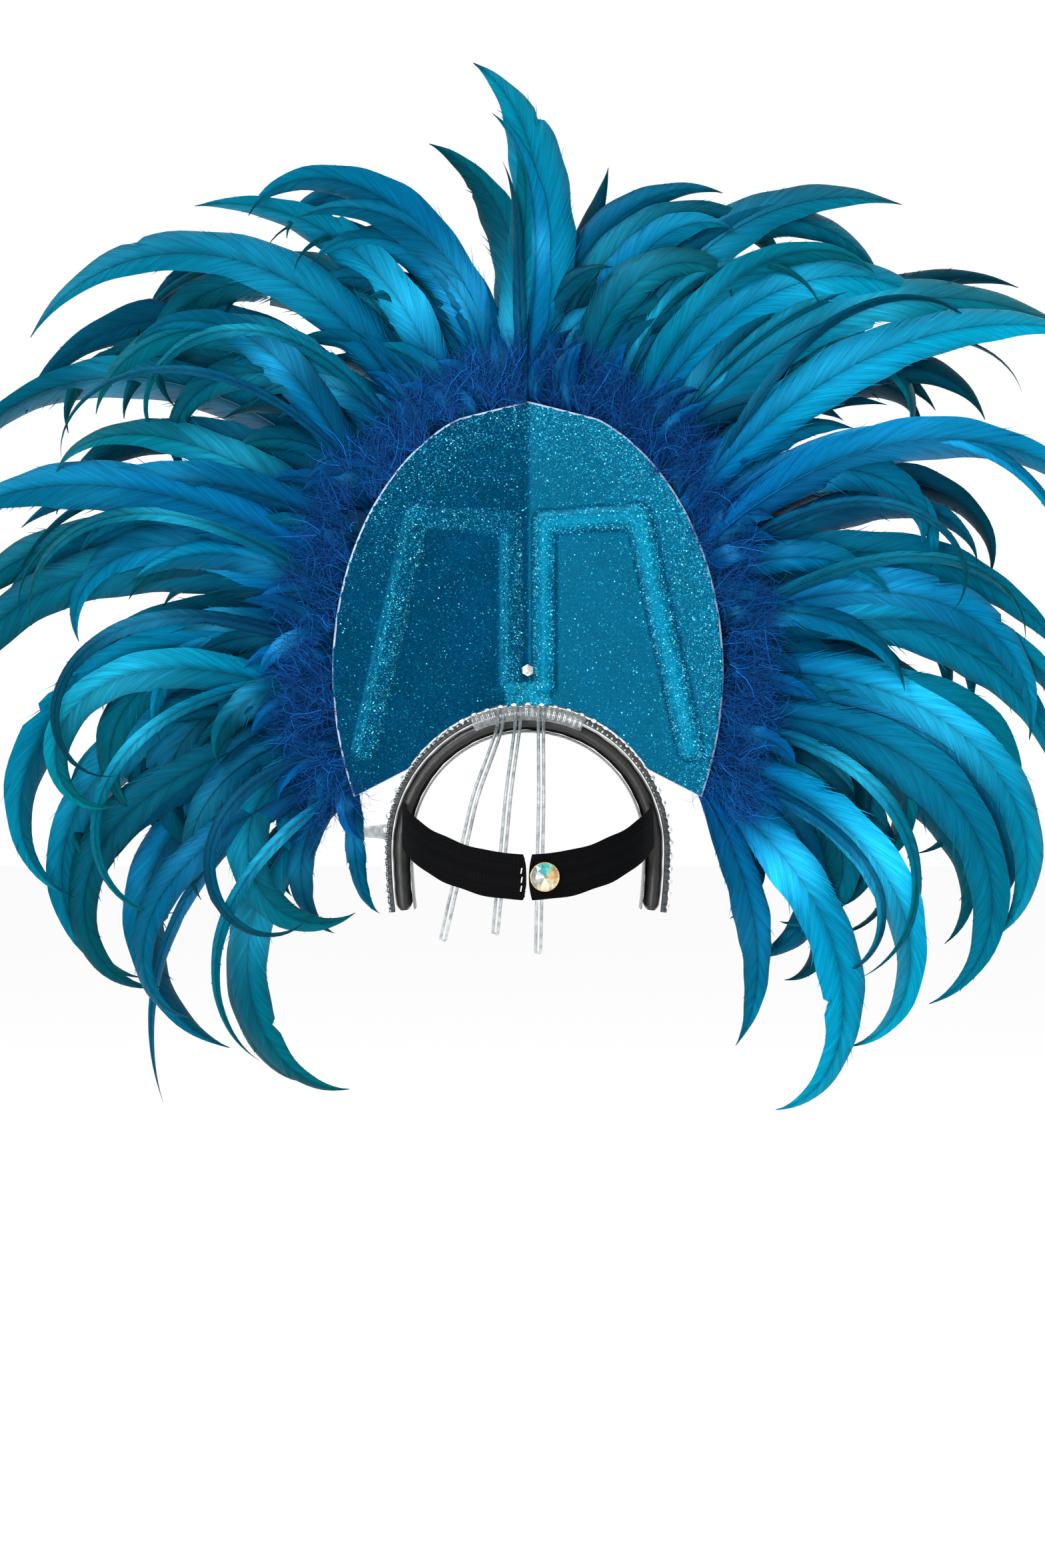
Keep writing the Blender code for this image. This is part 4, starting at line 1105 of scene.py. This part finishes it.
def model_vane():
    """One vane in its own coordinates: a grid primitive given a thin closed thickness."""
    piece = add_grid(6, VANE_ROWS)
    apply_modifier(piece, "SOLIDIFY", thickness=1.0, offset=0.0)
    return take_apart(piece)


def model_quill():
    """One quill in its own coordinates: a thin four-sided cone cut into rings."""
    piece = add_primitive(bpy.ops.mesh.primitive_cone_add, vertices=4, radius1=1, radius2=0.12,
                          depth=1, location=(0, 0, 0.5))
    bm = bmesh.new()
    bm.from_mesh(piece.data)
    upright = [e for e in bm.edges if abs(e.verts[0].co.z - e.verts[1].co.z) > 0.5]
    bmesh.ops.subdivide_edges(bm, edges=upright, cuts=23)
    bm.to_mesh(piece.data)
    bm.free()
    return take_apart(piece)


def numbered(parts):
    """Faces of several parts as one list, with each part's points counted on."""
    faces = []
    start = 0
    for count, group in parts:
        faces += [[i + start for i in face] for face in group]
        start += count
    return faces


def shape_barbs(rng, half, lean, length):
    """Loose barbs along both edges of a vane, each a thin closed spike from the quill's side."""
    count = BARBS * 2
    roots = np.repeat(np.linspace(0.08, 0.93, BARBS), 2) + rng.uniform(-0.008, 0.008, count)
    sides = np.tile([-1.0, 1.0], BARBS)
    width_at = vane_width(roots) * half * np.tile(lean, BARBS)
    start = 0.70 * width_at
    stick = rng.uniform(0.94, 1.08, count) + np.where(rng.random(count) < BARB_STICKS_OUT, 0.20, 0)
    end = stick * width_at
    ahead = (end - start) * BARB_SLOPE / length
    wide_root = BARB_FOOT / length
    across = np.stack([start, start, start, end], 1) * sides[:, None]
    share = np.stack([roots - wide_root, roots + wide_root, roots, roots + ahead], 1)
    thick = np.tile([-0.0003, -0.0003, 0.0004, 0.0], count)
    base = np.arange(count)[:, None] * 4
    faces = np.concatenate([base + f for f in ([0, 2, 1], [0, 1, 3], [1, 2, 3], [2, 0, 3])])
    return (across.ravel(), np.clip(share, 0, 1).ravel(), thick,
            np.tile([0.70, 0.70, 0.70, 1.0], count), faces.tolist())


def feather_dye_and_painted_light(rng, tone, share, across, offset):
    """Colours along one feather: root, middle, tip and dark end, with a painted highlight partway
    along, painted shade by depth and one vane half painted darker than the other.
    """
    root, middle, tip, dark = (np.array(linear(code)[:3]) for code in DYES[tone])
    color = root
    for start, length, after in ((0.08, 0.30, middle), (0.50, 0.42, tip), (0.95, 0.05, dark)):
        mix = fade(share, start, length)[:, None]
        if start > 0.9:
            mix = mix * rng.choice([0.2, 0.6, 1.0])
        color = color * (1 - mix) + after * mix
    near_quill = np.clip(1 - np.abs(across) / 0.0016, 0, 1)[:, None]
    # Random brightness, times painted shade that darkens feathers set farther back
    light = rng.uniform(0.50, 1.10) * (1 - 0.62 * min(offset / 0.036, 1))
    # Painted shade: one vane half darker and the other lighter, as if turned from or toward the
    # light
    painted_half_shade = 1 + rng.uniform(-0.30, 0.30) * np.sign(across)[:, None]
    # Painted highlight: a paler band partway along the feather, brightened and tinted pale cyan
    painted_highlight = np.exp(-((share - rng.uniform(0.30, 0.65)) / rng.uniform(0.06, 0.14)) ** 2)[:, None]
    painted_highlight = rng.choice([0.2, 0.5, 0.8, 1.2]) * painted_highlight
    color = color * (1 - 0.40 * near_quill) * light * painted_half_shade * (1 + 0.7 * painted_highlight)
    return color + painted_highlight * light * np.array(linear("#1A586A")[:3])


def shape_feather(rng, side, row, offset, templates, tone, power=CURL_POWER):
    """Bend the vane, quill and barbs along one feather's line."""
    (vane, vane_faces), (quill, quill_faces) = templates
    at, xs, zs, angles, length = feather_path(row, power, rng.uniform(-5, 45))
    half = FEATHER_HALF_WIDTH * row[4]
    tilt = math.radians(rng.uniform(-14, 30))
    twist = math.radians(rng.uniform(-26, 26))
    bow = rng.uniform(0.25, 0.60) * half
    lift = rng.uniform(0.0, 0.007)
    sweep = rng.uniform(-0.010, 0.006)
    phase = rng.uniform(0, 6.28, 4)
    lean = 1 + 0.12 * rng.uniform(-1, 1) * np.array([-1.0, 1.0])

    share = vane[:, 1]
    across = vane[:, 0] * 2 - 1
    edge = np.abs(across)
    line = np.rint(share * VANE_ROWS)
    wide = vane_width(share) * half * np.where(across < 0, lean[0], lean[1])
    wide = wide * (1 + edge * (0.05 * np.sin(share * 19 + phase[0])
                               + 0.03 * np.sin(share * 47 + phase[1] + across)))
    for _ in range(rng.poisson(1.0)):
        cut = (line == rng.integers(9, VANE_ROWS - 10)) & (np.sign(across) == rng.choice([-1, 1]))
        wide = np.where(cut & (edge > 0.6), wide * rng.uniform(0.72, 0.92), wide)
    forward = edge * BARB_SLOPE * 0.45 * wide / length
    thin = QUILL_THICKNESS * (1 - quill[:, 2]) + 0.0003
    parts = [(across * wide, np.clip(share + forward * np.clip(share * 6, 0, 1), 0, 1),
              vane[:, 2] * VANE_THICKNESS, edge, vane_faces),
             (quill[:, 0] * thin, quill[:, 2] * 0.97, quill[:, 1] * thin - VANE_THICKNESS,
              np.zeros(len(quill)), quill_faces),
             shape_barbs(rng, half, lean, length)]

    across, share, thick, rim = (np.concatenate([p[i] for p in parts]) for i in range(4))
    px, pz, angle = (np.interp(share, at, line) for line in (xs, zs, angles))
    turn = (tilt + twist * share) * np.clip(share * 4, 0, 1)
    flat = across * np.cos(turn)
    y = (fan_depth(px, pz, offset) + across * np.sin(turn) + bow * rim ** 1.7 * vane_width(share)
         + thick - lift * np.sin(share * math.pi) + sweep * share ** 2)
    points = np.stack([side * (px + np.cos(angle) * flat), y, pz - np.sin(angle) * flat], 1)
    uv = np.stack([across * 100 + phase[2] * 10,
                   (share * length - np.abs(across) * BARB_SLOPE) * 100 + phase[3] * 10], 1)
    faces = numbered([(len(p[0]), p[4]) for p in parts])
    return points, faces, uv, feather_dye_and_painted_light(rng, tone, share, across, offset)


def joined_piece(name, side, bundles, material, node):
    """One mesh from many shaped bundles of points, faces, map and dye."""
    points, uv, color = (np.concatenate([b[i] for b in bundles]) for i in (0, 2, 3))
    faces = numbered([(len(b[0]), b[1]) for b in bundles])
    if side < 0:
        faces = [face[::-1] for face in faces]
    mesh = bpy.data.meshes.new(name)
    mesh.from_pydata(points.tolist(), [], faces)
    corner = np.zeros(len(mesh.loops), dtype=np.int32)
    mesh.loops.foreach_get("vertex_index", corner)
    layer = mesh.uv_layers.new(name="barbs")
    layer.data.foreach_set("uv", uv[corner].astype(np.float32).ravel())
    # Per-point colours, which on the feathers hold painted shade and a painted highlight
    attribute = mesh.attributes.new("surface_colors", "FLOAT_COLOR", "POINT")
    rgba = np.concatenate([color, np.ones((len(color), 1))], 1).astype(np.float32)
    attribute.data.foreach_set("color", rgba.ravel())
    mesh.update()
    return finish_piece(link_object(name, mesh), name, material, "dyed_feather", node, 70)


def fill_rows(rng, span, every, lengths, mains):
    """Extra feathers between the main ones, headings and curls taken from their neighbours."""
    degrees = [m[0] for m in mains]
    rows = []
    for place in np.arange(*span, every):
        if place > LOW_FROM_DEGREES and rng.random() < LOW_SKIP_SHARE:
            continue
        spot = clamp(place + rng.uniform(-0.8, 0.8), 1.2, 134)
        heading, curl, length, width = (np.interp(spot, degrees, [m[i] for m in mains])
                                        for i in (1, 2, 3, 4))
        rows.append((spot, heading + rng.normal(0, 8), curl * rng.uniform(0.85, 1.50),
                     length * rng.uniform(*lengths), width * rng.uniform(0.85, 1.10)))
    return rows


def down_strands(rng, side, degrees, heading, offset):
    """One downy tuft: fine curved strands that spread from one root, as closed thin cones."""
    x, z = rim_point(degrees)
    out = rng.uniform(-0.008, 0.029)
    lean = math.radians(heading)
    x += math.sin(lean) * out
    z += math.cos(lean) * out
    depth = float(fan_depth(np.array(x), np.array(z), offset))
    sway = lean + np.radians(rng.normal(rng.normal(0, 14), 30, STRANDS))
    reach = rng.uniform(*STRAND_LENGTHS, STRANDS)
    bend = np.radians(rng.normal(0, 38, STRANDS))
    toward = rng.uniform(-0.5, 0.25, STRANDS) * reach
    thick = rng.uniform(*STRAND_WIDTHS, STRANDS)
    cx = x + rng.normal(0, 0.0025, STRANDS)
    cz = z + rng.normal(0, 0.0025, STRANDS)
    points = []
    for step in range(3):
        scale = thick * (1 - 0.55 * step / 3)
        cy = depth + toward * (step / 3) ** 1.3
        for corner in range(3):
            turn = 2 * math.pi * corner / 3
            points.append(np.stack([cx + np.cos(sway) * scale * math.cos(turn),
                                    cy + scale * math.sin(turn),
                                    cz - np.sin(sway) * scale * math.cos(turn)], 1))
        cx = cx + np.sin(sway) * reach / 3
        cz = cz + np.cos(sway) * reach / 3
        sway = sway + bend
    points.append(np.stack([cx, depth + toward, cz], 1))
    points = np.stack(points, 1).reshape(-1, 3)
    points[:, 0] = np.maximum(points[:, 0], MIDDLE_GAP) * side
    # Ten points a strand: two rings of sides and a tip, closed at the root
    faces = [[2, 1, 0]]
    for low in (0, 3):
        faces += [[low + i, low + (i + 1) % 3, low + 3 + (i + 1) % 3, low + 3 + i]
                  for i in range(3)]
    faces += [[6, 7, 9], [7, 8, 9], [8, 6, 9]]
    faces = numbered([(10, faces)] * STRANDS)
    low, high = np.array(linear("#002254")[:3]), np.array(linear("#0460B0")[:3])
    mix = np.clip(rng.normal(0.30, 0.22, STRANDS), 0, 1)
    mix = np.where(rng.random(STRANDS) < 0.04, 1.6, mix)[:, None]
    color = np.repeat(low * (1 - mix) + high * mix, 10, axis=0)
    return points, faces, np.zeros((len(points), 2)), np.clip(color, 0, 1)


def tuft_core(rng, side, first, last, headings, offset):
    """Dense heart of the down: a lumpy pad behind the loose strands, along the rim."""
    ball, faces = take_apart(add_primitive(bpy.ops.mesh.primitive_uv_sphere_add, segments=40,
                                           ring_count=28, radius=1))
    lump = (1 + 0.20 * np.sin(ball[:, 0] * 9 + rng.uniform(0, 6)) * np.sin(ball[:, 2] * 13 + 1)
            + 0.12 * np.sin(ball[:, 2] * 29 + rng.uniform(0, 6)))
    share = (ball[:, 2] + 1) / 2
    rims = np.array([rim_point(first + (last - first) * s) for s in share])
    angle = np.radians(headings[0] + (headings[1] - headings[0]) * share)
    out = TUFT_OUT + ball[:, 0] * TUFT_HALF_WIDTH * lump
    x = rims[:, 0] + np.sin(angle) * out
    z = rims[:, 1] + np.cos(angle) * out
    y = fan_depth(x, z, offset) + ball[:, 1] * TUFT_HALF_DEPTH * lump
    points = np.stack([side * np.maximum(x, MIDDLE_GAP), y, z], 1)
    color = np.tile(np.array(linear("#002A50")[:3]), (len(points), 1))
    return points, faces, np.zeros((len(points), 2)), color


def model_plume(rng, plume, span, mains, templates, materials):
    """The feathers and the down of one plume, each one piece."""
    name, side, layer, rows = plume
    base = layer * LAYER_PITCH
    bundles = []

    def grow(row, offset, tone, power=CURL_POWER):
        bundles.append(shape_feather(rng, side, row, offset, templates, tone, power))
    for row in rows:
        tone = rng.choice(["bright", "bright", "blue", "teal"])
        grow(row[:4] + (row[4] * MAIN_WIDTH,), base + rng.uniform(0.001, 0.009), tone)
    for row in EXTRA_FEATHERS.get(name, []):
        grow(row, base + rng.uniform(0.0, 0.006), "blue")
    for row in fill_rows(rng, span, FILL_EVERY_DEGREES, (0.60, 0.97), mains):
        offset = rng.uniform(0.006, 0.036)
        # Painted shade: feathers set far back take the darker teal and deep dyes, the near ones the
        # brighter ones
        names = ["teal", "deep"] if offset > 0.022 else ["blue", "teal", "bright"]
        tone = rng.choice(names + ["teal"] if row[0] > 85 else names)
        grow(row, offset, tone, rng.uniform(1.3, 2.8))
    for row in fill_rows(rng, span, STRAY_EVERY_DEGREES, (0.76, 0.95), mains):
        grow(row[:4] + (rng.uniform(0.22, 0.40),), rng.uniform(0.0, 0.030),
             rng.choice(["deep", "teal"]), rng.uniform(1.6, 2.6))
    for row in fill_rows(rng, span, UNDER_EVERY_DEGREES, (0.28, 0.55), mains):
        tone = rng.choice(["deep", "blue", "blue"])
        row = (row[0], row[1], row[2] * 0.6, row[3], row[4] * 0.72)
        grow(row, rng.uniform(0.010, 0.036), tone)
    for row in fill_rows(rng, span, PLUMULE_EVERY_DEGREES, (0.13, 0.22), mains):
        row = (row[0], row[1] + rng.normal(0, 22), row[2] * 0.4, row[3], row[4] * 0.50)
        grow(row, rng.uniform(0.004, 0.014), "down")
    feathers = joined_piece("feathers_" + name[6:], side, bundles, materials[0], name)

    first, last = span
    bundles = [tuft_core(rng, side, max(first - 2, 0.5), min(last + 2, 135),
                         (rows[0][1], rows[-1][1]), 0.010 + base * 0.4)]
    for place in np.arange(first, last, DOWN_EVERY_DEGREES):
        heading = np.interp(place, [m[0] for m in mains], [m[1] for m in mains])
        bundles.append(down_strands(rng, side, min(place, 134.5), heading,
                                    rng.uniform(-0.004, 0.009)))
    return [feathers, joined_piece("down_" + name[6:], side, bundles, materials[1], name)]


def model_plumes(*materials):
    """All feathers and down, one piece of each for every plume."""
    templates = (model_vane(), model_quill())
    pieces = []
    for index, plume in enumerate(PLUMES):
        beside = [p for p in PLUMES if p[1] == plume[1]]
        mains = sorted(row for p in beside for row in p[3])
        places = [row[0] for row in mains]
        # A plume's down ends halfway to the next plume's nearest main feather
        places = [2 - places[0]] + places + [268 - places[-1]]
        first = places.index(plume[3][0][0], 1)
        last = places.index(plume[3][-1][0], 1)
        span = ((places[first] + places[first - 1]) / 2, (places[last] + places[last + 1]) / 2)
        rng = np.random.default_rng(400 + index)
        pieces += model_plume(rng, plume, span, mains, templates, materials)
    return pieces


def set_camera():
    """Camera behind the wearer, a little above, with the photograph's framing."""
    data = bpy.data.cameras.new("camera")
    data.sensor_fit = "HORIZONTAL"
    data.sensor_width = SENSOR_MM
    data.lens = SENSOR_MM * CAMERA_DISTANCE / PHOTO_WIDTH_M
    camera = link_object("camera", data)
    away = Vector((0, -math.cos(CAMERA_RISE), math.sin(CAMERA_RISE)))
    camera.location = PHOTO_CENTER + away * CAMERA_DISTANCE
    camera.rotation_euler = (-away).to_track_quat("-Z", "Y").to_euler()
    bpy.context.scene.camera = camera


def add_area_light(name, place, size, watts):
    """A large soft square light that faces the headdress."""
    data = bpy.data.lights.new(name, "AREA")
    data.size = size
    data.energy = watts
    light = link_object(name, data)
    light.location = place
    direction = Vector((0, 0, 0.1)) - Vector(place)
    light.rotation_euler = direction.to_track_quat("-Z", "Y").to_euler()


def set_stage():
    """Pale floor, white surroundings and soft light from above and to the left."""
    floor = add_primitive(bpy.ops.mesh.primitive_plane_add, size=24, location=(0, 0, FLOOR_Z))
    floor.name = "floor"
    material = start_material("pale_floor", "#FAFAFA", 0.95, Specular_IOR_Level=0.0)[0]
    floor.data.materials.append(material)
    world = bpy.data.worlds.new("studio")
    bpy.context.scene.world = world
    world.use_nodes = True
    background = world.node_tree.nodes["Background"]
    background.inputs["Color"].default_value = linear("#FFFFFF")
    background.inputs["Strength"].default_value = 1.0
    bpy.context.scene.view_settings.view_transform = "Standard"
    add_area_light("key", (-1.2, -1.5, 2.0), 0.9, 56)
    add_area_light("side", (-0.93, -2.85, 0.15), 0.8, 36)
    add_area_light("front", (0.5, 2.3, 1.6), 1.8, 30)


set_camera()
set_stage()

pieces = model_plumes(dyed_feather(), dyed_down())
foam, gilt, steel, thread = (grained(name, *row)[0] for name, row in GRAINED.items())
plastic = clear_plastic("clear_polystyrene", "#8F989B", "#DDE2E3")
strip_plastic = clear_plastic("clear_strip_over_black", "#23282A", "#4B5357")
elastic = knitted_elastic()
pieces += [model_panel(glitter_board(), foam), model_headband(padded_vinyl()),
           model_lining(lining_cloth()), model_strap("strap_left", -1, elastic),
           model_strap("strap_right", 1, elastic)]
pieces += [model_prong(row, plastic) for row in PRONGS]
pieces.append(model_bracket(plastic))
pieces += model_trim(strip_plastic, cut_glass(), steel)
pieces += model_button(rivoli_foil(), gilt)
pieces += model_nut(steel)
pieces.append(model_stay(plastic))
pieces += model_stitches(thread)
for piece in pieces:
    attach(piece, "root")
